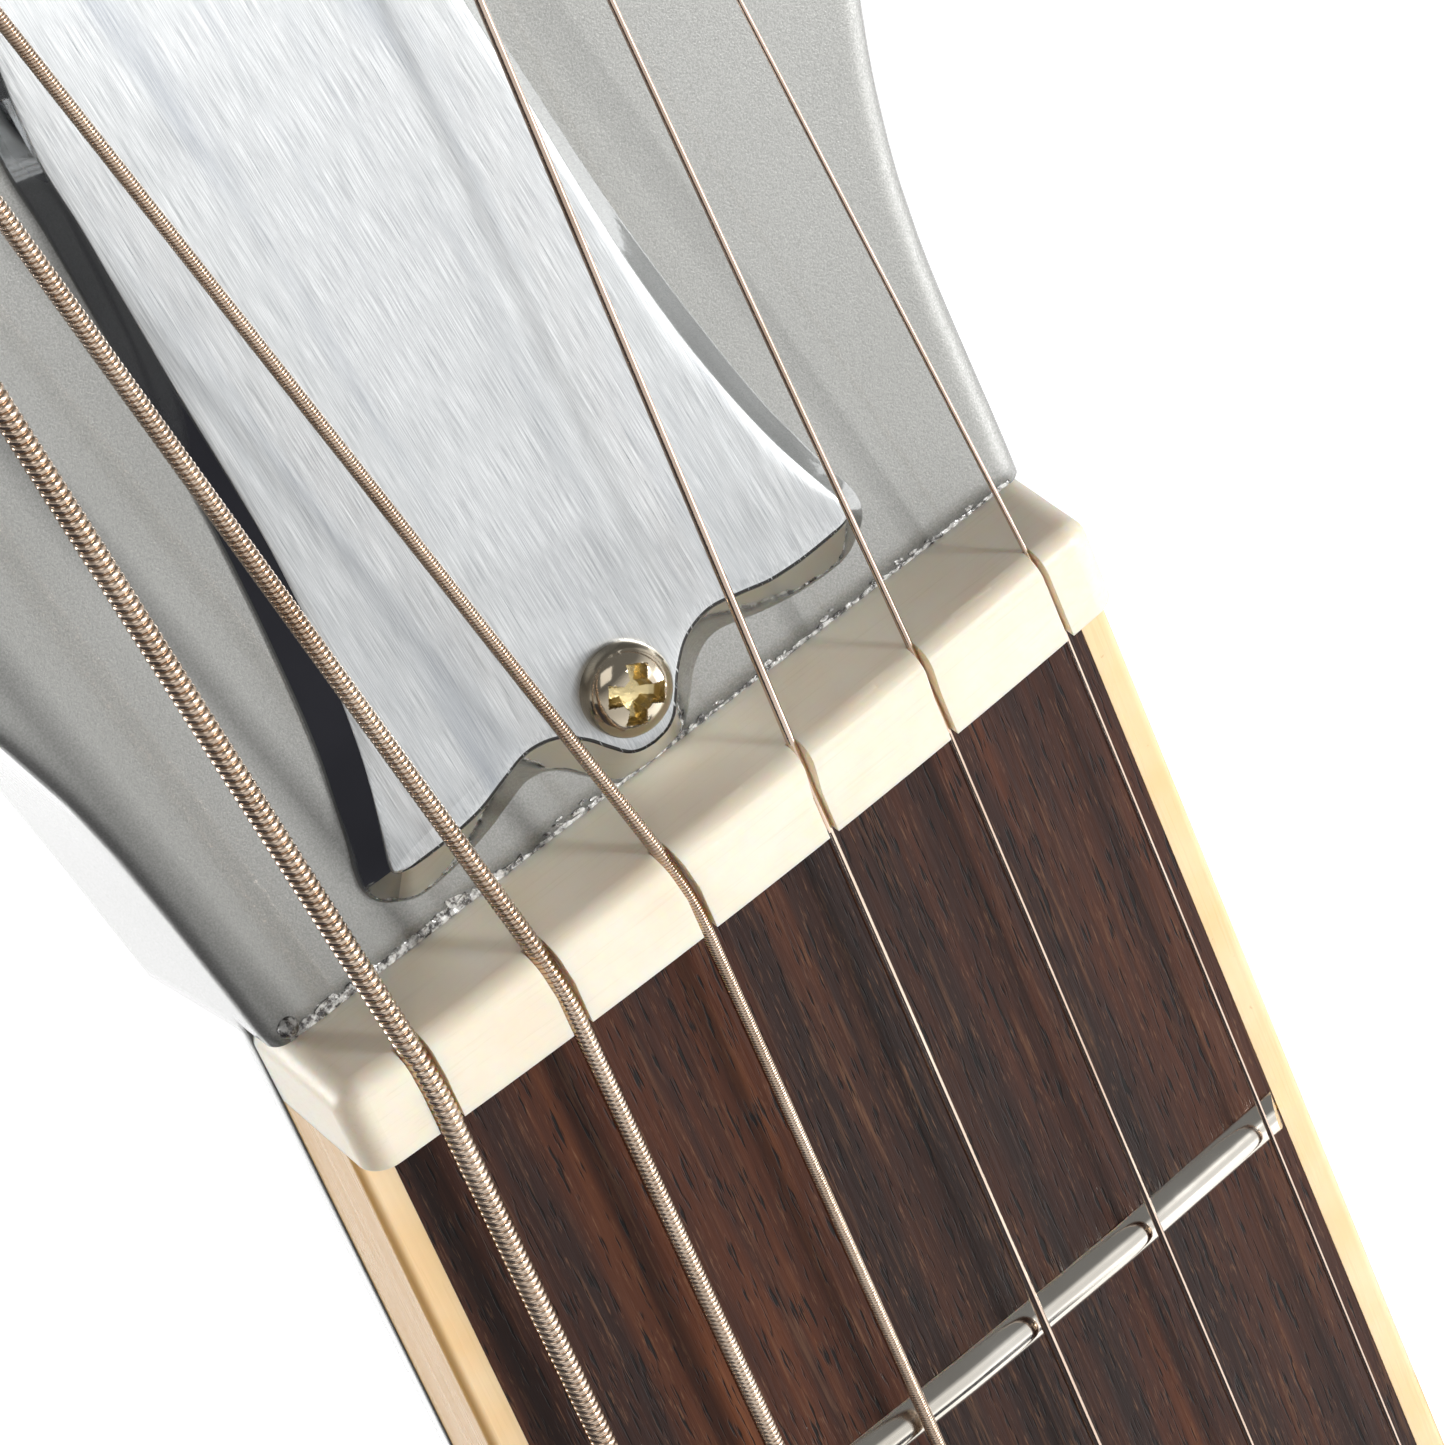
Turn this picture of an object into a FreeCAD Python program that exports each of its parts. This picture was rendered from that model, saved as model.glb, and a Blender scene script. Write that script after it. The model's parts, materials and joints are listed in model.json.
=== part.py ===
import FreeCAD, Part
import math
import os

from FreeCAD import Vector

# A six-string electric guitar with a bolt-on neck, in millimetres.
# Working axes: x across the strings (treble side +), y along the neck (headstock +), z out of the
# fingerboard. The origin is the middle of the nut's front edge, level with the fingerboard's crown.
# save() turns each piece so that the guitar stands up: +Z towards the headstock, its front facing -Y.

os.makedirs("parts", exist_ok=True)

# Strings, from the low E to the high E
string_names = ("low_e", "a", "d", "g", "b", "high_e")
string_radii = (0.584, 0.457, 0.330, 0.216, 0.165, 0.127)
string_span_nut = 35.6
string_span_bridge = 51.0
string_shift_nut = 0.55
string_lift_nut = 1.2
action_bass = 2.2
action_treble = 1.7
string_clear = 0.02
slot_wall_share = 1.08
slot_floor_share = 0.55
slot_reach = 7.0

# Scale, fingerboard and frets
scale_length = 628.0
fret_count = 22
board_radius = 305.0
board_half_nut = 19.8
board_half_last = 26.4
board_thick = 6.3
board_tongue = 9.0
binding_width = 1.6
binding_round = 0.5
fret_height = 0.9
fret_width = 2.3
fret_bevel = 35.0
tang_width = 0.5
tang_depth = 1.6
slot_clear = 0.04
dot_radius = 3.0
dot_depth = 1.5
dot_pair_half = 10.5
side_dot_radius = 1.0
side_dot_depth = 1.2
side_dot_pair_half = 4.0
dot_frets = (3, 5, 7, 9, 12, 15, 17, 19, 21)
glue_gap = 0.02

# Nut
nut_length = 5.0
nut_rise = 1.9
nut_rear_round = 1.0
nut_end_round = 1.4

# Neck and headstock
neck_depth_nut = 14.2
neck_depth_heel = 16.4
heel_depth = 21.7
heel_ramp_radius = 24.0
heel_ramp_rise = 3.0
# how far along and up its ramp the hollow's middle lies
heel_ramp_middle = (0.22, 0.6)
headstock_angle = 17.0
headstock_drop = 3.7
headstock_thick = 14.5
headstock_edge = 0.8
# right half of the headstock's outline: half width, distance from the nut
headstock_sides = (
    (21.4, 0.0), (21.9, 5.0), (23.0, 14.0), (25.3, 22.0), (30.6, 34.0),
    (36.4, 52.0), (37.6, 80.0), (37.2, 110.0), (34.0, 138.0), (27.0, 158.0),
)
headstock_top = 165.0
volute_length = 34.0
volute_half = 15.0
volute_drop = 3.0
volute_back_gap = 0.1

# Truss rod, its nut, the pocket that reaches it and the cover
rod_radius = 2.4
rod_nut_radius = 3.2
rod_nut_length = 8.5
rod_below_face = 8.6
rod_nut_start = 6.7
rod_tail_room = 40.0
rod_end_gap = 0.5
rod_into_nut = 6.5
thread_clear = 0.05
pocket_half = 5.0
pocket_start = 7.0
pocket_end = 40.0
pocket_floor = 12.0
pocket_end_flat = 0.5
cover_thick = 1.9
cover_bevel_drop = 0.45
# right half of the cover's foot: half width, distance from the nut
cover_foot = (
    (1.6, 0.35), (2.6, 1.4), (3.2, 2.6), (3.9, 3.3), (5.1, 3.8), (6.3, 3.7),
    (8.0, 2.95), (9.8, 2.5), (11.9, 2.4), (13.4, 2.9),
)
cover_tip = (14.2, 3.9)
cover_sides = (
    (13.7, 6.0), (12.7, 10.1), (12.0, 14.6), (11.4, 20.0), (11.0, 25.0), (10.7, 32.0), (10.5, 41.0),
)
cover_top = ((9.0, 48.5), (4.7, 56.7))
cover_length = 59.0
cover_foot_gap = 0.15
# the cover as screwed on: moved across, and turned in degrees so that its far end nears the bass side
cover_shift = -0.15
cover_turn = 0.75
cover_screw_places = (4.6, 53.0)
cover_screw_radius = 1.1
cover_screw_head = 2.2
cover_screw_dome = 1.7
cover_screw_length = 5.8
screw_tip_room = 0.3

# Tuners
post_x = (21.2, 19.7, 21.3)
post_shift = -0.9
post_s = (42.0, 80.0, 120.0)
post_radius = 3.0
post_waist = 2.6
post_waist_low = 3.5
post_waist_high = 10.6
post_top = 14.5
post_eye = 0.9
string_height_post = 9.0
wind_turns = 3
wind_step = 0.06
wind_drop = 0.4
shaft_clear = 0.05
bushing_radius = 5.0
bushing_flange = 7.0
bushing_flange_thick = 0.8
bushing_hex_radius = 6.2
bushing_hex_height = 2.3
housing_wall = 1.6
housing_depth = 12.0
housing_half_x = 8.2
gear_radius = 5.0
gear_height = 3.6
gear_gap = 0.4
worm_radius = 2.2
worm_half = 4.8
worm_mesh_gap = 0.1
worm_shaft_radius = 1.6
button_gap = 23.0
button_wide = 12.0
button_long = 9.0
button_deep = 5.5
# how wide the button is where it meets the shaft, at its middle and at its end
button_shares = (0.62, 1.0, 0.9)
tuner_screw_radius = 1.0
tuner_screw_length = 9.0
tuner_ear = 6.0
tuner_ear_half = 4.0
tuner_ear_round = 3.5
tuner_ear_thick = 1.5

# Body
body_top = -12.0
body_thick = 45.0
body_round = 6.0
pocket_clear = 0.2
body_pocket_reach = 120.0
# right half of the body's outline. Upper points are measured from the neck's end, lower ones from
# the bridge: half width, distance towards the headstock
body_upper = (
    (33.0, 62.0), (40.0, 67.0), (55.0, 84.0), (75.0, 104.0), (95.0, 108.0), (118.0, 86.0), (135.0, 46.0),
    (136.0, 0.0),
)
body_lower = (
    (118.0, 70.0), (131.0, 10.0), (158.0, -40.0), (164.0, -85.0), (144.0, -135.0), (96.0, -166.0),
)
body_tail = -176.0

# Neck joint
plate_half_x = 25.5
plate_length = 52.0
plate_thick = 2.0
plate_corner = 6.0
neck_screw_radius = 2.1
neck_screw_head = 4.4
neck_screw_head_height = 2.4
neck_screw_bite = 13.0
neck_screw_inset = 8.5
hole_clear = 0.05

# Pickups
pickup_half_x = 35.0
pickup_half_y = 19.0
pickup_height = 17.0
pickup_string_gap = 3.0
pickup_round = 3.0
pole_radius = 2.4
pole_rise = 0.5
pickup_row = 9.0
ring_border = 5.5
ring_height = 6.5
ring_round = 5.0
ring_clear = 0.4
cavity_clear = 2.0
cavity_depth = 22.0
neck_pickup_offset = 26.0
bridge_pickup_offset = 33.0
panel_screw_radius = 1.2
panel_screw_head = 2.4
panel_screw_head_height = 1.3
panel_screw_length = 10.0
ring_screw_inset = 2.6

# Bridge and tailpiece
bridge_half_x = 44.0
bridge_half_y = 6.5
bridge_height = 8.0
bridge_below_string = 4.0
trough_depth = 4.0
trough_play = 0.6
saddle_half_x = 3.2
saddle_half_y = 3.8
saddle_slot_gap = 0.2
saddle_rise = -0.05
saddle_bend = 3.0
saddle_crest_half = 0.8
saddle_screw_radius = 1.2
saddle_screw_head = 1.7
saddle_screw_head_thick = 1.6
saddle_screw_rise = 1.8
bridge_post_x = 37.0
bridge_post_radius = 3.0
bridge_wheel_radius = 8.0
bridge_wheel_height = 3.0
post_depth = 18.0
tail_offset = 44.0
tail_half_x = 50.0
tail_half_y = 7.0
tail_height = 12.0
tail_string_drop = 8.0
tail_hole_radius = 1.6
tail_bend = 4.0
ball_radius = 1.9
ball_length = 3.6
ball_seat_gap = 0.1
stud_x = 41.5
stud_radius = 4.0
stud_head_radius = 7.0
stud_head_height = 3.0

# Controls, jack and strap buttons: places are measured from the bridge's middle
control_places = ((84.0, -46.0), (104.0, -88.0))
switch_place = (70.0, -12.0)
cavity_x = (54.0, 120.0)
cavity_y = (-108.0, 2.0)
cavity_corner = 12.0
control_top_wall = 6.0
cover_plate_thick = 2.0
cover_plate_ledge = 5.0
cover_plate_clear = 0.2
cover_plate_screw_in = 30.0
wire_run_radius = 3.0
wire_run_rise = 4.0
wire_run_inside = 6.0
wire_run_end = (12.0, -20.0)
knob_radius = 9.5
knob_height = 16.0
knob_lift = 0.8
knob_skirt = 3.0
knob_waist_height = 4.5
# the knob's waist, shoulder and top as shares of its radius
knob_shares = (0.84, 0.78, 0.70)
knob_groove_count = 18
knob_groove_radius = 0.7
knob_groove_out = 0.35
pot_radius = 11.0
pot_height = 10.0
pot_bush_radius = 4.0
pot_bush_rise = 5.0
pot_shaft_radius = 3.0
pot_shaft_rise = 14.0
pot_shaft_depth = 6.0
switch_half = (7.0, 11.0)
switch_height = 20.0
switch_bush_radius = 5.5
switch_bush_rise = 3.5
lever_radius = 1.4
lever_tip_radius = 4.2
lever_length = 22.0
lever_gap = 0.4
lever_pivot_drop = 1.0
lever_angle = 14.0
jack_place = -84.0
jack_flat_x = 157.0
jack_cup_radius = 13.0
jack_bore_radius = 9.0
jack_plate_thick = 1.5
jack_barrel_radius = 5.0
jack_barrel_length = 24.0
jack_radius = 3.2
jack_nut_radius = 7.0
jack_nut_thick = 2.2
jack_plate_clear = 0.3
strap_button_radius = 7.5
strap_button_waist = 3.6
strap_button_height = 12.0
strap_screw_radius = 2.0
strap_screw_length = 18.0
strap_spot_depth = 1.5
strap_spot_clear = 0.5
strap_screw_head = 3.6
strap_screw_head_height = 1.8
strap_screw_sink = 2.2
strap_sink_radius = 3.8
horn_button_x = 89.0


def fret_y(number):
    """Where a fret's crown crosses the board, measured back from the nut."""
    return -scale_length * (1.0 - 2.0 ** (-number / 12.0))


def board_half(y):
    """Half the width of the fingerboard's wood, inside its binding."""
    return board_half_nut + (board_half_last - board_half_nut) * y / fret_y(fret_count)


def board_z(x):
    """Height of the fingerboard's curved face."""
    return math.sqrt(board_radius ** 2 - x ** 2) - board_radius


neck_end = fret_y(fret_count) - board_tongue
bridge_y = -scale_length
body_back = body_top - body_thick
board_bottom = -board_thick
pocket_z = board_bottom - heel_depth
tilt = math.radians(headstock_angle)
rod_z = -headstock_drop - rod_below_face
rod_tail_y = neck_end + rod_tail_room
rod_nut_y = (nut_length + rod_nut_start, nut_length + rod_nut_start + rod_nut_length)
worm_offset = gear_radius + worm_radius + worm_mesh_gap
bridge_z = board_z(0) + 2 * (fret_height + (action_bass + action_treble) / 2) - string_lift_nut


def box(x0, x1, y0, y1, z0, z1):
    return Part.makeBox(x1 - x0, y1 - y0, z1 - z0, Vector(x0, y0, z0))


def bar(radius, start, end):
    """A round bar between two points."""
    return Part.makeCylinder(radius, (end - start).Length, start, end - start)


def slab(points, z0, z1):
    """A plate whose outline runs through straight-sided points."""
    ring = [Vector(x, y, z0) for x, y in points]
    return Part.Face(Part.makePolygon(ring + ring[:1])).extrude(Vector(0, 0, z1 - z0))


def rounded_box(x0, x1, y0, y1, z0, z1, radius):
    """A box whose four upright edges are rounded."""
    block = box(x0, x1, y0, y1, z0, z1)
    upright = [e for e in block.Edges if abs(e.tangentAt(e.FirstParameter).z) > 0.9]
    return block.makeFillet(radius, upright)


def turned(profile, at):
    """A solid turned about the z direction from (radius, height) points."""
    ring = [Vector(r, 0, z) for r, z in profile]
    face = Part.Face(Part.makePolygon(ring + ring[:1]))
    solid = face.revolve(Vector(0, 0, 0), Vector(0, 0, 1), 360)
    solid.translate(at)
    return solid


def domed_head(radius, height, at):
    """A screw head: a slice of a ball that stands on its flat underside."""
    curve = (radius ** 2 + height ** 2) / (2 * height)
    ball = Part.makeSphere(curve, at + Vector(0, 0, height - curve))
    keep = Part.makeCylinder(radius + 1, height, at)
    return ball.common(keep)


def cross_recess(width, depth, at):
    """The driver's cross, cut from above."""
    arm = width * 0.3
    cuts = []
    for half_x, half_y in ((width / 2, arm / 2), (arm / 2, width / 2)):
        cuts.append(box(-half_x, half_x, -half_y, half_y, -depth, depth + 1))
    cross = cuts[0].fuse(cuts[1]).removeSplitter()
    cross.translate(at)
    return cross


def wood_screw(radius, length, head, head_height, at, recess=True):
    """A domed screw that stands at a point, with its shank down -z."""
    solid = domed_head(head, head_height, at).fuse(bar(radius, at, at - Vector(0, 0, length)))
    if recess:
        solid = solid.cut(cross_recess(head * 1.1, head_height * 0.6, at + Vector(0, 0, head_height)))
    return solid


def turn_over(shape, at):
    """Turn a piece half round the x direction, so that what pointed up points down."""
    copy = shape.copy()
    copy.rotate(at, Vector(1, 0, 0), 180)
    return copy


def on_headstock(shape):
    """Move a piece from the headstock's own axes (x, distance from nut, height) to the guitar's."""
    placed = shape.copy()
    placed.rotate(Vector(0, 0, 0), Vector(1, 0, 0), -headstock_angle)
    placed.translate(Vector(0, nut_length, -headstock_drop))
    return placed


def from_headstock(point):
    """The same move for one point."""
    y = nut_length + point.y * math.cos(tilt) + point.z * math.sin(tilt)
    z = -headstock_drop - point.y * math.sin(tilt) + point.z * math.cos(tilt)
    return Vector(point.x, y, z)


def to_headstock(point):
    """A point in the headstock's own axes."""
    along = point.y - nut_length
    out = point.z + headstock_drop
    s = along * math.cos(tilt) - out * math.sin(tilt)
    return Vector(point.x, s, along * math.sin(tilt) + out * math.cos(tilt))


def save(name, *shapes):
    """Write one node's solids, turned so that the guitar stands up."""
    solids = []
    for shape in shapes:
        solids.extend(shape.Solids)
    piece = solids[0] if len(solids) == 1 else Part.makeCompound(solids)
    piece = piece.copy()
    piece.rotate(Vector(0, 0, 0), Vector(1, 0, 0), 90)
    piece.exportStep("parts/" + name + ".step")
    print(name, len(solids), round(piece.Volume, 1), piece.isValid())


def curve_through(points):
    """One smooth edge through the points."""
    curve = Part.BSplineCurve()
    curve.interpolate([Vector(x, y, 0) for x, y in points])
    return curve.toShape()


def mirrored(points):
    return [(-x, y) for x, y in reversed(points)]


# ---------------------------------------------------------------- string routes

def post_place(index):
    """The tuner post of a string, in the headstock's axes: x and distance from the nut."""
    rank = index if index < 3 else 5 - index
    side = -1 if index < 3 else 1
    return post_shift + side * post_x[rank], post_s[rank], side


def string_points(index):
    """Ball end, tailpiece mouth, saddle, nut and post: the corners of a string's route."""
    radius = string_radii[index]
    share = index / 5.0 - 0.5
    x_nut = string_shift_nut + share * string_span_nut
    x_bridge = share * string_span_bridge
    action = action_bass + (action_treble - action_bass) * index / 5.0
    nut_z = board_z(x_nut) + string_lift_nut + radius
    saddle_z = board_z(x_bridge) + 2 * (fret_height + action) - string_lift_nut + radius
    saddle = Vector(x_bridge, bridge_y, saddle_z)
    front = Vector(x_nut, 0, nut_z)
    corner = front + (front - saddle) * (nut_length / 2 / scale_length)
    start = to_headstock(corner)
    px, ps, side = post_place(index)
    reach = post_waist + string_clear + radius
    dx = px - start.x
    ds = ps - start.y
    away = math.hypot(dx, ds)
    heading = math.atan2(dx, ds) - side * math.asin(reach / away)
    run = math.sqrt(away ** 2 - reach ** 2)
    tangent = Vector(start.x + run * math.sin(heading), start.y + run * math.cos(heading),
                     string_height_post)
    tail_z = bridge_z - tail_string_drop
    tail_front = bridge_y - tail_offset + tail_half_y
    ball = Vector(x_bridge, tail_front - 2 * tail_half_y - ball_length / 2, tail_z)
    mouth = Vector(x_bridge, tail_front - tail_bend / 4, tail_z)
    return [ball, mouth, saddle, corner, from_headstock(tangent)]


def turn_angle(points, i):
    return (points[i] - points[i - 1]).getAngle(points[i + 1] - points[i])


def route(points, bends):
    """Straight runs joined by tangent arcs; bends gives each inner corner's radius."""
    edges = []
    last = points[0]
    for i in range(1, len(points) - 1):
        back = (points[i - 1] - points[i]).normalize()
        ahead = (points[i + 1] - points[i]).normalize()
        half_turn = turn_angle(points, i) / 2
        reach = bends[i - 1] * math.tan(half_turn)
        inward = (back + ahead).normalize() * (bends[i - 1] * (1 / math.cos(half_turn) - 1))
        begin = points[i] + back * reach
        finish = points[i] + ahead * reach
        edges.append(Part.LineSegment(last, begin).toShape())
        edges.append(Part.Arc(begin, points[i] + inward, finish).toShape())
        last = finish
    edges.append(Part.LineSegment(last, points[-1]).toShape())
    return Part.Wire(edges)


def tube(points, bends, radius):
    """A round string or cutter along a route, and the route's length."""
    path = route(points, bends)
    ring = Part.Wire(Part.Circle(points[0], points[1] - points[0], radius).toShape())
    return path.makePipeShell([ring], True, False), path.Length


def string_bends(points):
    """Corner radii: small at the tailpiece and saddle, and over the whole nut."""
    nut_bend = nut_length / 2 / math.tan(turn_angle(points, 3) / 2)
    return [tail_bend, saddle_bend, nut_bend]


def bend_cutter(index, corner, reach):
    """The room that a string needs round one corner of its route."""
    points = string_points(index)
    middle = points[corner]
    back = middle + (points[corner - 1] - middle).normalize() * reach
    ahead = middle + (points[corner + 1] - middle).normalize() * reach
    bend = string_bends(points)[corner - 1]
    return tube([back, middle, ahead], [bend], string_radii[index] + string_clear)[0]


def slot_cutter(index):
    """A string's slot in the nut: its round floor, and straight walls up through the top."""
    points = string_points(index)
    half = (string_radii[index] + string_clear) * slot_wall_share
    sunk = string_radii[index] * slot_floor_share
    middle = points[3]
    cut = bend_cutter(index, 3, slot_reach)
    for end in (points[2], points[4]):
        ahead = (end - middle).normalize()
        side = Vector(0, 0, 1).cross(ahead).normalize() * half
        low = middle - Vector(0, 0, sunk) - ahead * sunk
        high = low + Vector(0, 0, slot_reach)
        mouth = Part.Face(Part.makePolygon([low - side, low + side, high + side, high - side, low - side]))
        cut = cut.fuse(mouth.extrude(ahead * (slot_reach + sunk)))
    return cut


# ---------------------------------------------------------------- neck

def neck_section(y, half, depth):
    """The neck's back: half an ellipse hung under the fingerboard's flat underside."""
    centre = Vector(0, y, board_bottom)
    ellipse = Part.Ellipse(centre + Vector(half, 0, 0), centre - Vector(0, 0, depth), centre)
    arc = Part.ArcOfEllipse(ellipse, -math.pi, 0).toShape()
    if arc.BoundBox.ZMax > board_bottom + 0.01:
        arc = Part.ArcOfEllipse(ellipse, 0, math.pi).toShape()
    ends = [arc.Vertexes[0].Point, arc.Vertexes[-1].Point]
    return Part.Wire([arc, Part.LineSegment(ends[1], ends[0]).toShape()])


def headstock_outline():
    """The headstock's outline: its two sides, an arched top and a straight edge at the nut."""
    right = curve_through(headstock_sides)
    left = curve_through(mirrored(headstock_sides))
    corner_x, corner_s = headstock_sides[-1]
    crown = Part.Arc(Vector(corner_x, corner_s, 0), Vector(0, headstock_top, 0),
                     Vector(-corner_x, corner_s, 0)).toShape()
    foot = Part.LineSegment(Vector(-headstock_sides[0][0], 0, 0), Vector(headstock_sides[0][0], 0, 0))
    return Part.Wire([right, crown, left, foot.toShape()])


def make_neck():
    """Neck, heel and headstock in one piece, with the seats of all that is let into them."""
    outer_nut = board_half_nut + binding_width
    outer_end = board_half(neck_end) + binding_width
    front = neck_section(nut_length, outer_nut, neck_depth_nut)
    rear = neck_section(neck_end, outer_end, neck_depth_heel)
    shaft = Part.makeLoft([front, rear], True, True)
    # the heel: as wide as the board, with a hollow ramp up to the neck's back
    heel_start = neck_end + plate_length + 2 * pocket_clear
    ramp_top = board_bottom - neck_depth_heel + heel_ramp_rise
    along, up = heel_ramp_middle
    heel_side = [
        Part.LineSegment(Vector(0, neck_end, board_bottom), Vector(0, neck_end, pocket_z)).toShape(),
        Part.LineSegment(Vector(0, neck_end, pocket_z), Vector(0, heel_start, pocket_z)).toShape(),
        Part.Arc(Vector(0, heel_start, pocket_z),
                 Vector(0, heel_start + heel_ramp_radius * along, pocket_z + (ramp_top - pocket_z) * up),
                 Vector(0, heel_start + heel_ramp_radius, ramp_top)).toShape(),
        Part.LineSegment(Vector(0, heel_start + heel_ramp_radius, ramp_top),
                         Vector(0, heel_start + heel_ramp_radius, board_bottom)).toShape(),
        Part.LineSegment(Vector(0, heel_start + heel_ramp_radius, board_bottom),
                         Vector(0, neck_end, board_bottom)).toShape(),
    ]
    heel = Part.Face(Part.Wire(heel_side)).extrude(Vector(2 * outer_end, 0, 0))
    heel.translate(Vector(-outer_end, 0, 0))
    plan = [(-outer_nut, 0), (outer_nut, 0), (outer_end, neck_end), (-outer_end, neck_end)]
    heel = heel.common(slab(plan, pocket_z, board_bottom))
    # the headstock: a slab with rolled edges, and the swelling behind the nut that joins it
    head = Part.Face(headstock_outline()).extrude(Vector(0, 0, -headstock_thick))
    rims = [e for e in head.Edges if e.BoundBox.ZLength < 0.01 and e.BoundBox.YMax > 1]
    head = on_headstock(head.makeFillet(headstock_edge, rims))
    tip_middle = Vector(0, volute_length, -volute_drop)
    tip = Part.Ellipse(tip_middle + Vector(volute_half, 0, 0),
                       Vector(0, volute_length, volute_back_gap - headstock_thick), tip_middle)
    tip_arc = Part.ArcOfEllipse(tip, -math.pi, 0).toShape()
    if tip_arc.BoundBox.ZMax > -volute_drop + 0.01:
        tip_arc = Part.ArcOfEllipse(tip, 0, math.pi).toShape()
    ends = [tip_arc.Vertexes[0].Point, tip_arc.Vertexes[-1].Point]
    tip_wire = on_headstock(Part.Wire([tip_arc, Part.LineSegment(ends[1], ends[0]).toShape()]))
    volute = Part.makeLoft([front, tip_wire], True, True)
    neck = shaft.fuse([heel, head, volute])
    # seats for the nut, the truss rod, its pocket, the tuners and the plate's screws
    cuts = [box(-60, 60, 0, nut_length, board_bottom, 20)]
    cuts.append(bar(rod_radius + thread_clear, Vector(0, rod_tail_y, rod_z), Vector(0, rod_nut_y[1], rod_z)))
    cuts.append(box(-rod_radius - thread_clear, rod_radius + thread_clear, rod_tail_y, -nut_length,
                    rod_z, board_bottom + 1))
    pocket = rounded_box(-pocket_half, pocket_half, pocket_start, pocket_end, -20, 5,
                         pocket_half - pocket_end_flat)
    floor = box(-60, 60, 0, 100, -headstock_drop - pocket_floor, 20)
    cuts.append(on_headstock(pocket).common(floor))
    for index in range(6):
        px, ps = post_place(index)[:2]
        hole = bar(bushing_radius + shaft_clear, Vector(px, ps, 1), Vector(px, ps, -headstock_thick - 1))
        cuts.append(on_headstock(hole))
        for x, s in tuner_screw_places(index):
            deep = -headstock_thick + tuner_screw_length - tuner_ear_thick + 0.5
            cuts.append(on_headstock(bar(tuner_screw_radius + hole_clear, Vector(x, s, deep),
                                         Vector(x, s, -headstock_thick - 1))))
    for x, s in cover_screw_seats():
        cuts.append(on_headstock(bar(cover_screw_radius + hole_clear, Vector(x, s, 1),
                                     Vector(x, s, cover_thick - cover_screw_length - screw_tip_room))))
    for x, y in neck_screw_places():
        cuts.append(bar(neck_screw_radius + hole_clear, Vector(x, y, pocket_z - 1),
                        Vector(x, y, pocket_z + neck_screw_bite + 0.5)))
    return neck.cut(cuts).removeSplitter()


def tuner_screw_places(index):
    """Two screws per tuner, in the ears of its housing, along the headstock's length."""
    px, ps = post_place(index)[:2]
    low = ps - gear_radius - gear_gap - housing_wall - tuner_ear / 2
    high = ps + worm_offset + worm_radius + gear_gap + housing_wall + tuner_ear / 2
    return ((px, low), (px, high))


def neck_screw_places():
    """The four screws that hold the neck, from the middle of its heel."""
    places = []
    for x in (-1, 1):
        for y in (neck_end + neck_screw_inset, neck_end + plate_length - neck_screw_inset):
            places.append((x * (plate_half_x - neck_screw_inset), y))
    return places


# ---------------------------------------------------------------- fingerboard, binding, frets, nut

def crowned(z_low, extra=0.0):
    """Everything under the fingerboard's curved face, or under a face that much higher."""
    barrel = Part.makeCylinder(board_radius + extra, 900, Vector(0, -850, -board_radius), Vector(0, 1, 0))
    return barrel.common(box(-60, 60, -850, 50, z_low, 20))


def make_board():
    """The fingerboard: a curved face, a slot for each fret and a seat for each dot."""
    end = neck_end
    plan = [(-board_half(0), 0), (board_half(0), 0), (board_half(end), end), (-board_half(end), end)]
    board = slab(plan, board_bottom, 2).common(crowned(board_bottom - 1))
    cuts = []
    for number in range(1, fret_count + 1):
        y = fret_y(number)
        half = board_half(y) + 1
        slot = Part.makeCylinder(board_radius + 1, tang_width + 2 * slot_clear,
                                 Vector(0, y - tang_width / 2 - slot_clear, -board_radius), Vector(0, 1, 0))
        core = Part.makeCylinder(board_radius - tang_depth - slot_clear, 4,
                                 Vector(0, y - 2, -board_radius), Vector(0, 1, 0))
        reach = box(-half, half, y - 1, y + 1, -board_thick, 5)
        cuts.append(slot.common(reach).cut(core))
    for x, y in dot_places():
        cuts.append(Part.makeCylinder(dot_radius + glue_gap, 6, Vector(x, y, board_z(x) - dot_depth)))
    return board.cut(cuts)


def dot_places():
    """Middles of the dots in the fingerboard's face: one behind each marked fret, two at the twelfth."""
    places = []
    for number in dot_frets:
        y = (fret_y(number) + fret_y(number - 1)) / 2
        if number == 12:
            places.extend([(-dot_pair_half, y), (dot_pair_half, y)])
        else:
            places.append((0.0, y))
    return places


def side_dot_places():
    """Dots in the bass side's binding: y, with the middle of the binding's height."""
    places = []
    for number in dot_frets:
        y = (fret_y(number) + fret_y(number - 1)) / 2
        shifts = (-side_dot_pair_half, side_dot_pair_half) if number == 12 else (0.0,)
        places.extend([y + shift for shift in shifts])
    return places


def make_dots():
    """The dots in the face, flush with its curve, and the small ones in the bass side's binding."""
    dots = []
    for x, y in dot_places():
        base = board_z(x) - dot_depth + glue_gap
        dots.append(Part.makeCylinder(dot_radius, 6, Vector(x, y, base)).common(crowned(board_bottom)))
    for y in side_dot_places():
        dots.append(side_dot(y, side_dot_radius, side_dot_depth))
    return dots


def side_dot(y, radius, depth):
    """A short round peg let into the side of the bass binding."""
    outer = board_half(y) + binding_width
    z = board_bottom + board_thick / 2
    dot = bar(radius, Vector(-outer - 1, y, z), Vector(-outer + depth, y, z))
    return dot.common(binding_blank(-1))


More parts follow.
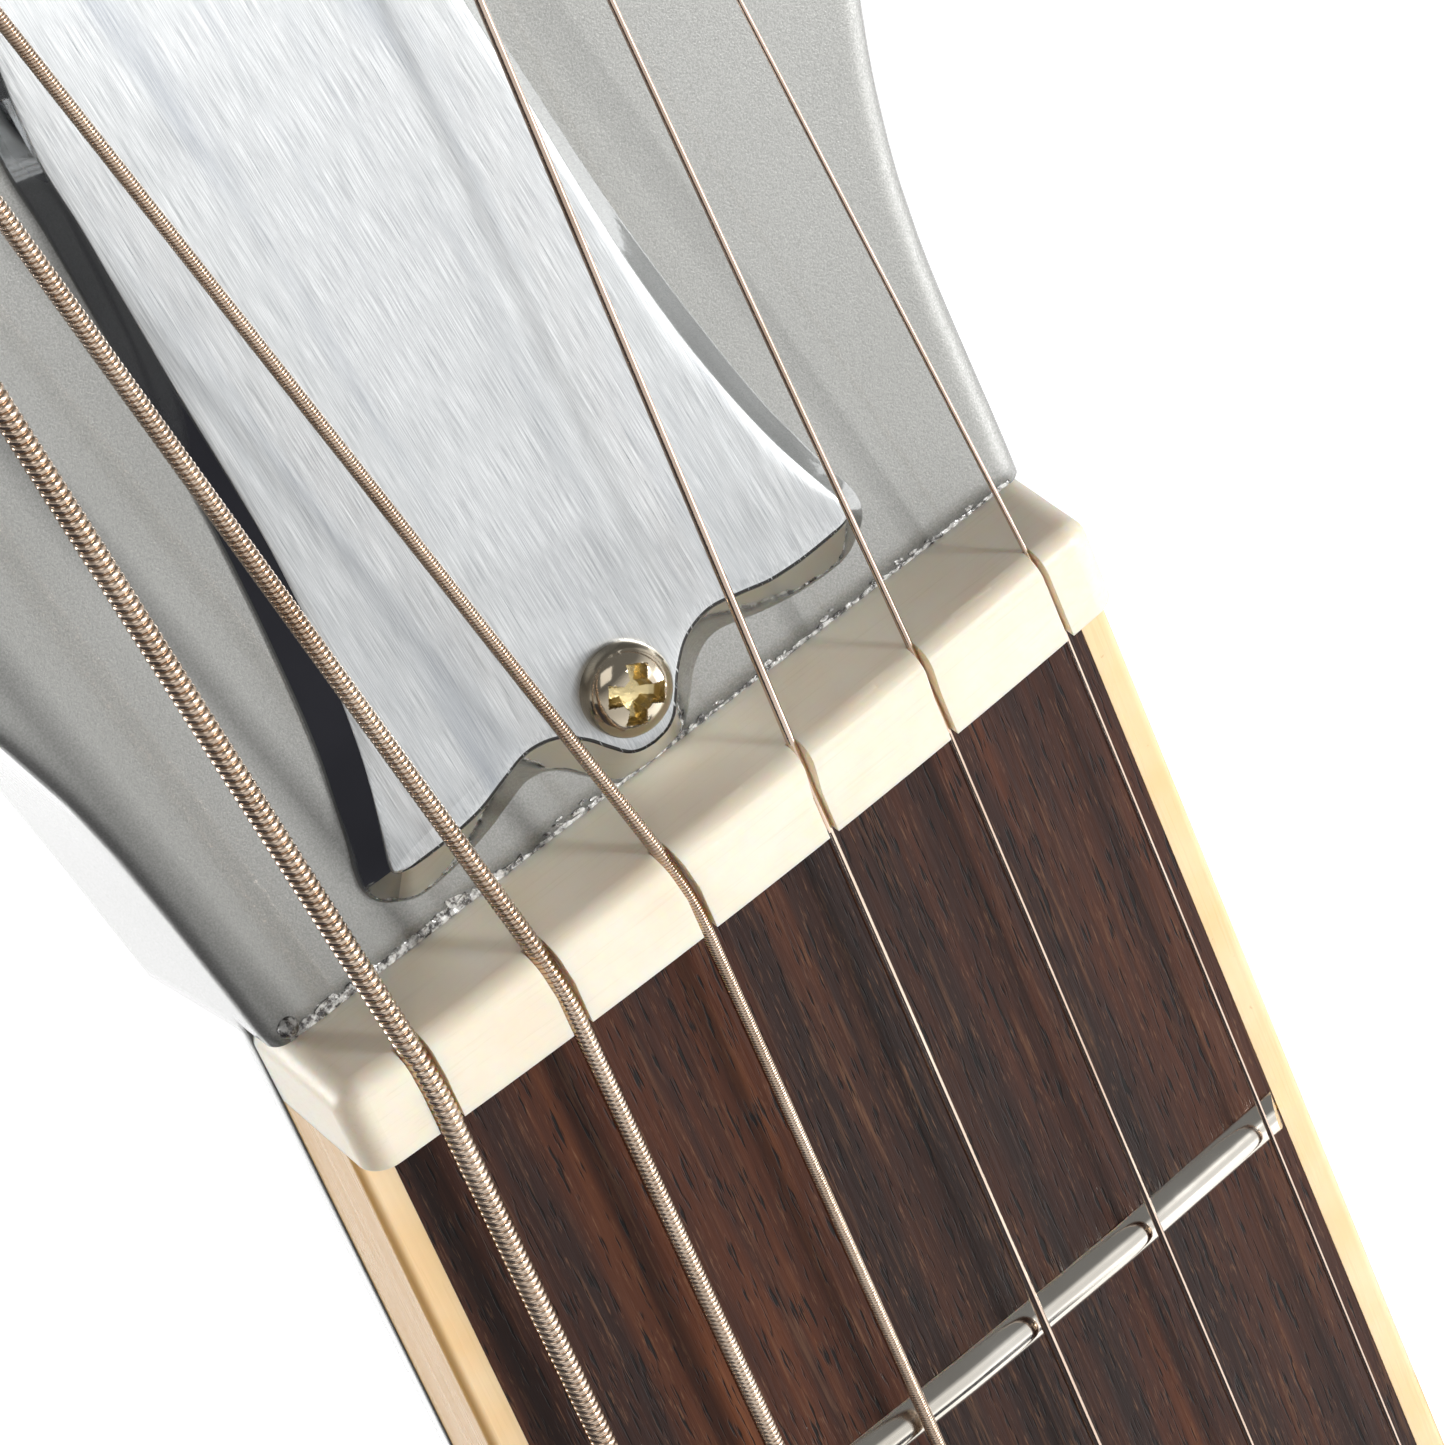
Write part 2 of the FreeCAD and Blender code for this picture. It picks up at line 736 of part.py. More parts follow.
def binding_blank(side):
    """One side's strip of binding, with its upper outer edge rounded."""
    end = neck_end
    inner = [board_half(0) + glue_gap, board_half(end) + glue_gap]
    outer = [board_half(0) + binding_width, board_half(end) + binding_width]
    plan = [(side * inner[0], 0), (side * outer[0], 0), (side * outer[1], end), (side * inner[1], end)]
    strip = slab(plan, board_bottom, 2).common(crowned(board_bottom - 1))
    middle = side * (board_half(end / 2) + binding_width)
    tops = [e for e in strip.Edges
            if e.Length > 0.8 * abs(end) and e.BoundBox.ZMin > -3 and abs(e.CenterOfMass.x - middle) < 0.5]
    return strip.makeFillet(binding_round, tops)


def make_binding():
    """Both strips of binding; the bass one has a seat for each side dot."""
    bass = binding_blank(-1)
    for y in side_dot_places():
        outer = board_half(y) + binding_width
        z = board_bottom + board_thick / 2
        bass = bass.cut(bar(side_dot_radius + glue_gap, Vector(-outer - 1, y, z),
                            Vector(-outer + side_dot_depth + glue_gap, y, z)))
    return [bass, binding_blank(1)]


def make_frets():
    """Crowned wire bent to the board's curve, with a tang in its slot and bevelled ends."""
    frets = []
    for number in range(1, fret_count + 1):
        y = fret_y(number)
        half = board_half(y)
        low = Vector(0, y - fret_width / 2, glue_gap)
        high = Vector(0, y + fret_width / 2, glue_gap)
        crown = Part.Face(Part.Wire([Part.Arc(low, Vector(0, y, fret_height), high).toShape(),
                                     Part.LineSegment(high, low).toShape()]))
        tang = Part.Face(Part.makePolygon([
            Vector(0, y - tang_width / 2, 0.2), Vector(0, y + tang_width / 2, 0.2),
            Vector(0, y + tang_width / 2, -tang_depth), Vector(0, y - tang_width / 2, -tang_depth),
            Vector(0, y - tang_width / 2, 0.2)]))
        wire = crown.fuse(tang).removeSplitter()
        reach = math.degrees(math.asin((half + 0.3) / board_radius))
        wire.rotate(Vector(0, 0, -board_radius), Vector(0, 1, 0), -reach)
        fret = wire.revolve(Vector(0, 0, -board_radius), Vector(0, 1, 0), 2 * reach)
        slope = math.tan(math.radians(fret_bevel))
        ends = []
        for side in (-1, 1):
            foot = side * (half - 0.05)
            lean = side * 5 * slope
            ends.append(Vector(foot, 0, board_z(half)))
            ends.append(Vector(foot - lean, 0, board_z(half) + 5))
        wedge = Part.Face(Part.makePolygon([ends[0], ends[1], ends[3], ends[2],
                                            ends[2] - Vector(0, 0, 4), ends[0] - Vector(0, 0, 4), ends[0]]))
        keep = wedge.extrude(Vector(0, 4, 0))
        keep.translate(Vector(0, y - 2, 0))
        frets.append(fret.common(keep))
    return frets


def make_nut():
    """The nut: curved on top as the fingerboard is, rounded at its rear and ends, with six slots."""
    half = board_half_nut + binding_width
    seat = board_bottom + glue_gap
    blank = box(-half, half, glue_gap, nut_length, seat, 20)
    blank = blank.common(crowned(seat, nut_rise))
    upper = [e for e in blank.Edges if e.BoundBox.ZMin > board_bottom + 3]
    rear = [e for e in upper if e.BoundBox.YMin > nut_length - 0.01 and e.Length > half]
    blank = blank.makeFillet(nut_rear_round, rear)
    upper = [e for e in blank.Edges if e.BoundBox.ZMin > board_bottom + 3]
    ends = [e for e in upper if e.BoundBox.XLength < 0.01 and e.BoundBox.YLength > nut_length / 2]
    blank = blank.makeFillet(nut_end_round, ends)
    for index in range(6):
        blank = blank.cut(slot_cutter(index))
    return blank.cut(on_headstock(box(-60, 60, 0, 20, -30, 0)))


# ---------------------------------------------------------------- truss rod cover

def cover_screw_seats():
    """Where the cover's screws stand on the headstock, as the cover is moved and turned."""
    turn = math.radians(cover_turn)
    return [(cover_shift - s * math.sin(turn), s * math.cos(turn)) for s in cover_screw_places]


def make_cover():
    """The cover's plate, with its upper rim sloped and a hole for each screw."""
    foot = [(0.0, cover_foot_gap)] + list(cover_foot)
    whole_foot = mirrored(foot[1:]) + foot
    edges = [curve_through(whole_foot)]
    corner = [foot[-1], cover_tip, cover_sides[0]]
    edges.append(Part.Arc(*[Vector(x, s, 0) for x, s in corner]).toShape())
    edges.append(curve_through(cover_sides))
    top = [cover_sides[-1]] + list(cover_top) + [(0.0, cover_length)]
    edges.append(curve_through(top + mirrored(top[:-1])))
    edges.append(curve_through(mirrored(cover_sides)))
    edges.append(Part.Arc(*[Vector(-x, s, 0) for x, s in reversed(corner)]).toShape())
    outline = Part.Wire(edges)
    plate = Part.Face(outline).extrude(Vector(0, 0, cover_thick))
    rim = [e for e in plate.Edges if e.BoundBox.ZMin > cover_thick - 0.01]
    plate = plate.makeChamfer(cover_bevel_drop, rim)
    plate.rotate(Vector(0, 0, 0), Vector(0, 0, 1), cover_turn)
    plate.translate(Vector(cover_shift, 0, 0))
    for x, s in cover_screw_seats():
        plate = plate.cut(bar(cover_screw_radius + hole_clear, Vector(x, s, -1),
                              Vector(x, s, cover_thick + 1)))
    return plate


# ---------------------------------------------------------------- tuners

def make_tuner(index):
    """A machine head: its post with the string's winds, its button on the worm, and its housing."""
    px, ps, side = post_place(index)
    back = -headstock_thick
    gear_low = back - housing_depth + housing_wall + gear_gap
    gear_mid = gear_low + gear_height / 2
    worm_y = ps + worm_offset
    post = turned([
        (0, gear_low), (gear_radius, gear_low), (gear_radius, gear_low + gear_height),
        (post_radius, gear_low + gear_height), (post_radius, post_waist_low),
        (post_waist, post_waist_low + 0.6),
        (post_waist, post_waist_high), (post_radius, post_waist_high + 0.6), (post_radius, post_top - 0.7),
        (post_radius - 0.7, post_top), (0, post_top)], Vector(px, ps, 0))
    eye_z = string_height_post + string_radii[0] + post_eye / 2
    eye = bar(post_eye, Vector(px - 5, ps, eye_z), Vector(px + 5, ps, eye_z))
    post = post.cut(eye)
    radius = string_radii[index]
    winds = []
    for turn in range(wind_turns):
        z = string_height_post - wind_drop - (turn + 1) * (2 * radius + wind_step)
        winds.append(Part.makeTorus(post_waist + string_clear + radius, radius, Vector(px, ps, z)))
    button_in = px + side * button_gap
    button_out = button_in + side * button_wide
    shaft = bar(worm_shaft_radius, Vector(px - side * (housing_half_x - housing_wall), worm_y, gear_mid),
                Vector(button_in + side * 2, worm_y, gear_mid))
    worm = bar(worm_radius, Vector(px - worm_half, worm_y, gear_mid),
               Vector(px + worm_half, worm_y, gear_mid))
    button = make_button(button_in, button_out, worm_y, gear_mid)
    y0 = ps - gear_radius - gear_gap - housing_wall
    y1 = worm_y + worm_radius + gear_gap + housing_wall
    z0 = back - housing_depth
    case = box(px - housing_half_x, px + housing_half_x, y0, y1, z0, back)
    lower = [e for e in case.Edges if e.BoundBox.ZMax < z0 + 0.01]
    case = case.makeFillet(1.5, lower)
    ears = rounded_box(px - tuner_ear_half, px + tuner_ear_half, y0 - tuner_ear, y1 + tuner_ear,
                       back - tuner_ear_thick, back, tuner_ear_round)
    case = case.fuse(ears)
    cavity = Part.makeCylinder(gear_radius + gear_gap, gear_height + 2 * gear_gap,
                               Vector(px, ps, gear_low - gear_gap))
    nest = box(px - worm_half - gear_gap, px + worm_half + gear_gap, ps, worm_y + worm_radius + gear_gap,
               gear_mid - worm_radius - gear_gap, gear_mid + worm_radius + gear_gap)
    shaft_hole = bar(worm_shaft_radius + shaft_clear,
                     Vector(px - side * (housing_half_x - housing_wall + 0.3), worm_y, gear_mid),
                     Vector(px + side * (housing_half_x + 1), worm_y, gear_mid))
    post_hole = Part.makeCylinder(post_radius + shaft_clear, 40, Vector(px, ps, gear_low + gear_height))
    case = case.cut([cavity, nest, shaft_hole, post_hole])
    for x, s in tuner_screw_places(index):
        case = case.cut(bar(tuner_screw_radius + hole_clear, Vector(x, s, back - 5), Vector(x, s, back + 1)))
    return post, winds, shaft.fuse([worm, button]), case.removeSplitter()


def make_button(inner, outer, y, z):
    """A kidney-like grip: a waisted oval turned crosswise on the worm's shaft."""
    middle = (inner + outer) / 2
    sections = []
    for x, scale in zip((inner, middle, outer), button_shares):
        oval = Part.Ellipse(Vector(x, y + button_long * scale, z), Vector(x, y, z + button_deep * scale),
                            Vector(x, y, z))
        sections.append(Part.Wire(oval.toShape()))
    grip = Part.makeLoft(sections, True, False)
    if grip.Volume < 0:
        grip.reverse()
    return grip


def make_bushing(index):
    """The six-sided bushing on the headstock's face, with its washer and the sleeve round the post."""
    px, ps = post_place(index)[:2]
    hexagon = [(px + bushing_hex_radius * math.cos(math.radians(60 * k)),
                ps + bushing_hex_radius * math.sin(math.radians(60 * k))) for k in range(6)]
    washer = Part.makeCylinder(bushing_flange, bushing_flange_thick, Vector(px, ps, 0))
    head = slab(hexagon, bushing_flange_thick, bushing_flange_thick + bushing_hex_height)
    sleeve = bar(bushing_radius, Vector(px, ps, 0), Vector(px, ps, -headstock_thick + 0.2))
    bore = bar(post_radius + shaft_clear, Vector(px, ps, 20), Vector(px, ps, -30))
    return washer.fuse([head, sleeve]).cut(bore)


# ---------------------------------------------------------------- body and its fittings

def body_outline():
    """The body's outline: one smooth loop, left open across the neck's end and closed by a line."""
    right = [(x, neck_end + y) for x, y in body_upper] + [(x, bridge_y + y) for x, y in body_lower]
    lower = [(0.0, bridge_y + body_tail)]
    start = right[0]
    loop = right + lower + mirrored(right)
    mouth = Part.LineSegment(Vector(-start[0], start[1], 0), Vector(start[0], start[1], 0)).toShape()
    return Part.Wire([curve_through(loop), mouth])


def pickup_middles():
    return (neck_end - neck_pickup_offset, bridge_y + bridge_pickup_offset)


def control_point(place):
    return Vector(place[0], bridge_y + place[1], body_top)


def stud_seats():
    """Bridge posts and tailpiece studs: x, y and shank radius."""
    seats = []
    for x in (-1, 1):
        seats.append((x * bridge_post_x, bridge_y, bridge_post_radius))
        seats.append((x * stud_x, bridge_y - tail_offset, stud_radius))
    return seats


def ring_screw_places():
    places = []
    for y in pickup_middles():
        for sx in (-1, 1):
            for sy in (-1, 1):
                places.append((sx * (pickup_half_x + ring_border - ring_screw_inset),
                               y + sy * (pickup_half_y + ring_border - ring_screw_inset)))
    return places


def cover_plate_screw_places():
    """The four screws of the plate over the control cavity, in the middle of its ledge."""
    out = cover_plate_ledge / 2 + cover_plate_clear
    places = []
    for x in (cavity_x[0] - out, cavity_x[1] + out):
        for y in (cavity_y[0] + cover_plate_screw_in, cavity_y[1] - cover_plate_screw_in):
            places.append((x, bridge_y + y))
    return places


def strap_seats():
    """Where the strap buttons stand: the tail's middle, and the bass horn's tip."""
    horn_y = neck_end + max(y for x, y in body_upper)
    return ((Vector(0, bridge_y + body_tail, body_top - body_thick / 2), -1),
            (Vector(-horn_button_x, horn_y, body_top - body_thick / 2), 1))


def make_body():
    """The body with every pocket, cavity and bore, its front and back edges rolled."""
    body = Part.Face(body_outline()).extrude(Vector(0, 0, -body_thick))
    body.translate(Vector(0, 0, body_top))
    rims = [e for e in body.Edges if e.BoundBox.ZLength < 0.01 and e.Length > 200]
    body = body.makeFillet(body_round, rims)
    cuts = []
    half_front = board_half(neck_end + plate_length) + binding_width + pocket_clear
    half_rear = board_half(neck_end) + binding_width + pocket_clear
    grow = (half_rear - half_front) / plate_length
    top_y = neck_end + body_pocket_reach
    plan = [(-half_rear, neck_end - pocket_clear), (half_rear, neck_end - pocket_clear),
            (half_rear - grow * body_pocket_reach, top_y), (-half_rear + grow * body_pocket_reach, top_y)]
    cuts.append(slab(plan, pocket_z - 0.02, body_top + 1))
    for y in pickup_middles():
        cuts.append(rounded_box(-pickup_half_x - cavity_clear, pickup_half_x + cavity_clear,
                                y - pickup_half_y - cavity_clear, y + pickup_half_y + cavity_clear,
                                body_top - cavity_depth, body_top + 1, pickup_round + cavity_clear))
    x0, x1 = cavity_x
    y0, y1 = bridge_y + cavity_y[0], bridge_y + cavity_y[1]
    cuts.append(rounded_box(x0, x1, y0, y1, body_back - 1, body_top - control_top_wall, cavity_corner))
    ledge = cover_plate_ledge + cover_plate_clear
    cuts.append(rounded_box(x0 - ledge, x1 + ledge, y0 - ledge, y1 + ledge, body_back - 1,
                            body_back + cover_plate_thick, cavity_corner + ledge))
    for place in control_places:
        at = control_point(place)
        cuts.append(bar(pot_bush_radius + hole_clear, at + Vector(0, 0, 1), at - Vector(0, 0, 20)))
    at = control_point(switch_place)
    cuts.append(bar(switch_bush_radius + hole_clear, at + Vector(0, 0, 1), at - Vector(0, 0, 20)))
    for x, y, radius in stud_seats():
        cuts.append(bar(radius + hole_clear, Vector(x, y, body_top + 1),
                        Vector(x, y, body_top - post_depth - 0.5)))
    for x, y in neck_screw_places():
        cuts.append(bar(neck_screw_radius + hole_clear, Vector(x, y, body_back - 1), Vector(x, y, body_top)))
    for x, y in ring_screw_places():
        deep = body_top + ring_height - panel_screw_length - 0.5
        cuts.append(bar(panel_screw_radius + hole_clear, Vector(x, y, body_top + 1), Vector(x, y, deep)))
    for x, y in cover_plate_screw_places():
        cuts.append(bar(panel_screw_radius + hole_clear, Vector(x, y, body_back - 1),
                        Vector(x, y, body_back + panel_screw_length + 0.5)))
    # the jack: a flat-bottomed cup in the treble edge, and a bore on into the cavity
    jack = Vector(jack_flat_x, bridge_y + jack_place, body_top - body_thick / 2)
    cuts.append(bar(jack_cup_radius, jack, jack + Vector(40, 0, 0)))
    cuts.append(bar(jack_bore_radius, jack - Vector(jack_flat_x - x1 + 4, 0, 0), jack + Vector(1, 0, 0)))
    # wire runs between the cavities
    wire_z = body_top - cavity_depth + wire_run_rise
    finish = Vector(x0 + wire_run_end[0], bridge_y + wire_run_end[1], wire_z - wire_run_rise)
    for y in pickup_middles():
        cuts.append(bar(wire_run_radius, Vector(pickup_half_x - wire_run_inside, y, wire_z), finish))
    for seat, up in strap_seats():
        spot = seat + Vector(0, -up * strap_spot_depth, 0)
        cuts.append(bar(strap_button_radius + strap_spot_clear, spot, spot + Vector(0, up * 12, 0)))
        cuts.append(bar(strap_screw_radius + hole_clear, spot + Vector(0, up, 0),
                        spot - Vector(0, up * (strap_screw_length + 0.5), 0)))
    return body.cut(cuts)


def make_pickup(y):
    """A closed metal cover with two rows of pole pieces, on a baseplate."""
    top = string_line_z(y) - pickup_string_gap - pole_rise
    can = rounded_box(-pickup_half_x, pickup_half_x, y - pickup_half_y, y + pickup_half_y,
                      top - pickup_height, top, pickup_round)
    upper = [e for e in can.Edges if e.BoundBox.ZMin > top - 0.01]
    can = can.makeFillet(1.2, upper)
    poles = []
    share = string_span_nut + (string_span_bridge - string_span_nut) * (-y / scale_length)
    holes = []
    row_y = y + pickup_row
    for k in range(6):
        x = (k / 5.0 - 0.5) * share
        holes.append(bar(pole_radius + glue_gap, Vector(x, row_y, top - 4), Vector(x, row_y, top + 2)))
        pole = bar(pole_radius, Vector(x, row_y, top - 4 + glue_gap), Vector(x, row_y, top + pole_rise))
        slot = box(x - pole_radius - 1, x + pole_radius + 1, row_y - 0.4, row_y + 0.4,
                   top + pole_rise - 0.4, top + 5)
        poles.append(pole.cut(slot))
    return [can.cut(holes)] + poles


def string_line_z(y):
    """Height of the middle strings' line over the body."""
    return string_lift_nut + (bridge_z - string_lift_nut) * (-y / scale_length)


def make_ring(y):
    """The plastic frame round a pickup, with a hole for each of its four screws."""
    outer = rounded_box(-pickup_half_x - ring_border, pickup_half_x + ring_border,
                        y - pickup_half_y - ring_border, y + pickup_half_y + ring_border,
                        body_top, body_top + ring_height, ring_round)
    inner = rounded_box(-pickup_half_x - ring_clear, pickup_half_x + ring_clear,
                        y - pickup_half_y - ring_clear, y + pickup_half_y + ring_clear,
                        body_top - 1, body_top + ring_height + 1, pickup_round + ring_clear)
    upper = [e for e in outer.Edges if e.BoundBox.ZMin > body_top + ring_height - 0.01]
    ring = outer.makeFillet(1.0, upper).cut(inner)
    for x, sy in ring_screw_places():
        ring = ring.cut(bar(panel_screw_radius + hole_clear, Vector(x, sy, body_top - 2),
                            Vector(x, sy, body_top + ring_height + 2)))
    return ring


def saddle_points():
    return [string_points(index)[2] for index in range(6)]


def make_bridge():
    """The bridge's bar, with a trough for six saddles, standing on two posts' thumbwheels."""
    top = bridge_z - bridge_below_string
    base = box(-bridge_half_x, bridge_half_x, bridge_y - bridge_half_y, bridge_y + bridge_half_y,
               top - bridge_height, top)
    upright = [e for e in base.Edges if abs(e.tangentAt(e.FirstParameter).z) > 0.9]
    base = base.makeFillet(bridge_half_y - 0.2, upright)
    upper = [e for e in base.Edges if e.BoundBox.ZMin > top - 0.01]
    base = base.makeFillet(0.8, upper)
    cuts = []
    trough_z = top - trough_depth
    screw_z = trough_z + saddle_screw_rise
    for point in saddle_points():
        cuts.append(box(point.x - saddle_half_x - saddle_slot_gap, point.x + saddle_half_x + saddle_slot_gap,
                        bridge_y - saddle_half_y - trough_play, bridge_y + saddle_half_y + trough_play,
                        trough_z, top + 1))
        cuts.append(bar(saddle_screw_radius + hole_clear, Vector(point.x, bridge_y - 20, screw_z),
                        Vector(point.x, bridge_y + bridge_half_y - 1, screw_z)))
    for sx in (-1, 1):
        cuts.append(bar(bridge_post_radius + hole_clear, Vector(sx * bridge_post_x, bridge_y, top + 1),
                        Vector(sx * bridge_post_x, bridge_y, top - bridge_height - 1)))
    base = base.cut(cuts)
    saddles = []
    screws = []
    for index, point in enumerate(saddle_points()):
        x = point.x
        crest = point.z + saddle_rise
        side = [Vector(x - saddle_half_x, bridge_y - saddle_half_y, trough_z + glue_gap),
                Vector(x - saddle_half_x, bridge_y + saddle_half_y, trough_z + glue_gap),
                Vector(x - saddle_half_x, bridge_y + saddle_half_y, top - 0.2),
                Vector(x - saddle_half_x, bridge_y + saddle_crest_half, crest),
                Vector(x - saddle_half_x, bridge_y - saddle_crest_half, crest),
                Vector(x - saddle_half_x, bridge_y - saddle_half_y, top - 0.2)]
        block = Part.Face(Part.makePolygon(side + side[:1])).extrude(Vector(2 * saddle_half_x, 0, 0))
        hole = bar(saddle_screw_radius + hole_clear, Vector(x, bridge_y - 10, screw_z),
                   Vector(x, bridge_y + 10, screw_z))
        block = block.cut(bend_cutter(index, 2, 2 * saddle_half_y)).cut(hole)
        saddles.append(block)
        head_y = bridge_y - bridge_half_y
        shank = bar(saddle_screw_radius, Vector(x, head_y, screw_z),
                    Vector(x, bridge_y + bridge_half_y - 1.2, screw_z))
        head = bar(saddle_screw_head, Vector(x, head_y - saddle_screw_head_thick, screw_z),
                   Vector(x, head_y, screw_z))
        slot = box(x - 3, x + 3, head_y - 2, head_y - 1, screw_z - 0.3, screw_z + 0.3)
        screws.append(shank.fuse(head).cut(slot))
    posts = []
    for sx in (-1, 1):
        foot = Vector(sx * bridge_post_x, bridge_y, body_top - post_depth)
        post = bar(bridge_post_radius, foot, Vector(sx * bridge_post_x, bridge_y, top - 0.6))
        wheel_low = top - bridge_height - bridge_wheel_height
        wheel = Part.makeCylinder(bridge_wheel_radius, bridge_wheel_height,
                                  Vector(sx * bridge_post_x, bridge_y, wheel_low))
        posts.append(post.fuse(wheel))
    return base, saddles, screws, posts


def make_tailpiece():
    """The stop tailpiece with its string holes, the strings' balls and the two studs."""
    y = bridge_y - tail_offset
    z = bridge_z - tail_string_drop
    low, high = z - tail_height / 2, z + tail_height / 2
    lug = rounded_box(-tail_half_x, tail_half_x, y - tail_half_y, y + tail_half_y, low, high,
                      tail_half_y - 0.3)
    rims = [e for e in lug.Edges if e.BoundBox.ZLength < 0.01]
    tail = lug.makeFillet(2.0, rims)
    cuts = []
    balls = []
    for index in range(6):
        points = string_points(index)
        x = points[0].x
        cuts.append(bar(tail_hole_radius, Vector(x, y - 20, z), Vector(x, y + 20, z)))
        mouth_y = y - tail_half_y
        seat_y = mouth_y + ball_radius
        half = Vector(ball_length / 2, 0, 0)
        seat = math.hypot(ball_radius, ball_length / 2) + ball_seat_gap
        cuts.append(bar(seat, Vector(x, mouth_y - 5, z), Vector(x, seat_y, z)))
        middle = Vector(x, seat_y - ball_radius - glue_gap, z)
        ball = bar(ball_radius, middle - half, middle + half)
        reach = Vector(0, 9, 0)
        hole = bar(string_radii[index] + string_clear, middle - reach, middle + reach)
        balls.append(ball.cut(hole))
    studs = []
    for sx in (-1, 1):
        cuts.append(bar(stud_radius + hole_clear, Vector(sx * stud_x, y, low - 5),
                        Vector(sx * stud_x, y, high + 5)))
        shank = bar(stud_radius, Vector(sx * stud_x, y, body_top - post_depth), Vector(sx * stud_x, y, high))
        head = domed_head(stud_head_radius - 0.4, stud_head_height, Vector(sx * stud_x, y, high))
        collar = Part.makeCylinder(stud_head_radius, low - body_top - 0.02, Vector(sx * stud_x, y, body_top))
        slot = box(sx * stud_x - 9, sx * stud_x + 9, y - 0.8, y + 0.8,
                   high + stud_head_height - 1.2, high + 9)
        studs.append(shank.fuse([head, collar]).cut(slot))
    return tail.cut(cuts), balls, studs


def make_knob(place):
    """A tapered knob with a ribbed skirt, over the pot's shaft."""
    at = control_point(place) + Vector(0, 0, knob_lift)
    waist, shoulder, crown = [knob_radius * share for share in knob_shares]
    knob = turned([(0, 0), (knob_radius, 0), (knob_radius, knob_skirt), (waist, knob_waist_height),
                   (shoulder, knob_height - 1), (crown, knob_height), (0, knob_height)], at)
    cuts = [Part.makeCylinder(pot_bush_radius + 1.6, pot_bush_rise + 0.6, at - Vector(0, 0, 0.1)),
            Part.makeCylinder(pot_shaft_radius + glue_gap, pot_shaft_rise - knob_lift + 0.3, at)]
    groove_at = waist + knob_groove_out
    for k in range(knob_groove_count):
        angle = 2 * math.pi * k / knob_groove_count
        foot = at + Vector(groove_at * math.cos(angle), groove_at * math.sin(angle), knob_waist_height + 0.1)
        cuts.append(Part.makeCylinder(knob_groove_radius, knob_height, foot))
    return knob.cut(cuts)


def make_pot(place):
    """A potentiometer's can and threaded bush under the top, and the shaft that turns in it."""
    at = control_point(place)
    under = at - Vector(0, 0, control_top_wall)
    can = Part.makeCylinder(pot_radius, pot_height, under - Vector(0, 0, pot_height))
    bush = Part.makeCylinder(pot_bush_radius, control_top_wall + pot_bush_rise, under)
    bore = Part.makeCylinder(pot_shaft_radius + shaft_clear, 60, under - Vector(0, 0, pot_shaft_depth + 0.3))
    shaft = bar(pot_shaft_radius, under - Vector(0, 0, pot_shaft_depth), at + Vector(0, 0, pot_shaft_rise))
    return can.fuse(bush).cut(bore), shaft


def make_switch():
    """The three-way switch: its frame and threaded bush, and the lever that tilts in them."""
    at = control_point(switch_place)
    under = at - Vector(0, 0, control_top_wall)
    half_x, half_y = switch_half
    frame = box(at.x - half_x, at.x + half_x, at.y - half_y, at.y + half_y, under.z - switch_height, under.z)
    bush = Part.makeCylinder(switch_bush_radius, control_top_wall + switch_bush_rise, under)
    collar = Part.makeCylinder(switch_bush_radius + 2.5, 1.6, at)
    spread = math.tan(math.radians(lever_angle))
    low = lever_radius + lever_gap + spread * lever_pivot_drop
    tall = control_top_wall + switch_bush_rise
    bore = Part.makeCone(low, low + spread * (tall + 0.1), tall + 0.1, under)
    room = Part.makeCylinder(4.5, 8, under - Vector(0, 0, 8))
    switch = frame.fuse([bush, collar]).cut([bore, room])
    pivot = at + Vector(0, 0, -lever_pivot_drop - control_top_wall)
    lever = bar(lever_radius, pivot - Vector(0, 0, 3), pivot + Vector(0, 0, lever_length))
    knob = Part.makeSphere(lever_tip_radius, pivot + Vector(0, 0, lever_length))
    return switch, lever.fuse([knob, Part.makeSphere(lever_radius + 0.4, pivot)])


def make_jack():
    """The side plate and the socket that its nut clamps through it."""
    at = Vector(jack_flat_x, bridge_y + jack_place, body_top - body_thick / 2)
    out = Vector(1, 0, 0)
    plate = bar(jack_cup_radius - jack_plate_clear, at, at + out * jack_plate_thick)
    plate = plate.cut(bar(jack_barrel_radius + hole_clear, at - out, at + out * 5))
    face = at + out * (jack_plate_thick + jack_nut_thick)
    barrel = bar(jack_barrel_radius, face - out * jack_barrel_length, face)
    nut_ring = bar(jack_nut_radius, at + out * jack_plate_thick, face)
    inner_nut = bar(jack_nut_radius + 1, at - out * 3, at)
    bore = bar(jack_radius, face - out * (jack_barrel_length - 2), face + out)
    return [plate, barrel.fuse([nut_ring, inner_nut]).cut(bore)]


def make_strap_button(seat, up):
    """A flared button and its screw, standing along the neck's direction."""
    h = strap_button_height
    r = strap_button_radius
    w = strap_button_waist
    button = turned([(0, 0), (r * 0.8, 0), (r * 0.8, 1.6), (w, 3.2), (w, h - 4.0), (r, h - 1.8), (r, h - 0.6),
                     (r - 0.6, h), (0, h)], Vector(0, 0, 0))
    hole = Part.makeCylinder(strap_screw_radius + glue_gap, h + 2, Vector(0, 0, -1))
    seat_z = h - strap_screw_sink
    sink = Part.makeCylinder(strap_sink_radius, 3, Vector(0, 0, seat_z))
    screw = wood_screw(strap_screw_radius, strap_screw_length + seat_z, strap_screw_head,
                       strap_screw_head_height, Vector(0, 0, seat_z))
    pieces = []
    for piece in (button.cut([hole, sink]), screw):
        piece.rotate(Vector(0, 0, 0), Vector(1, 0, 0), -90 * up)
        piece.translate(seat - Vector(0, up * strap_spot_depth, 0))
        pieces.append(piece)
    return pieces


# ---------------------------------------------------------------- build and write every node

save("neck", make_neck())
save("fingerboard", make_board())
save("board_binding", *make_binding())
save("frets", *make_frets())
save("position_dots", *make_dots())
save("nut", make_nut())

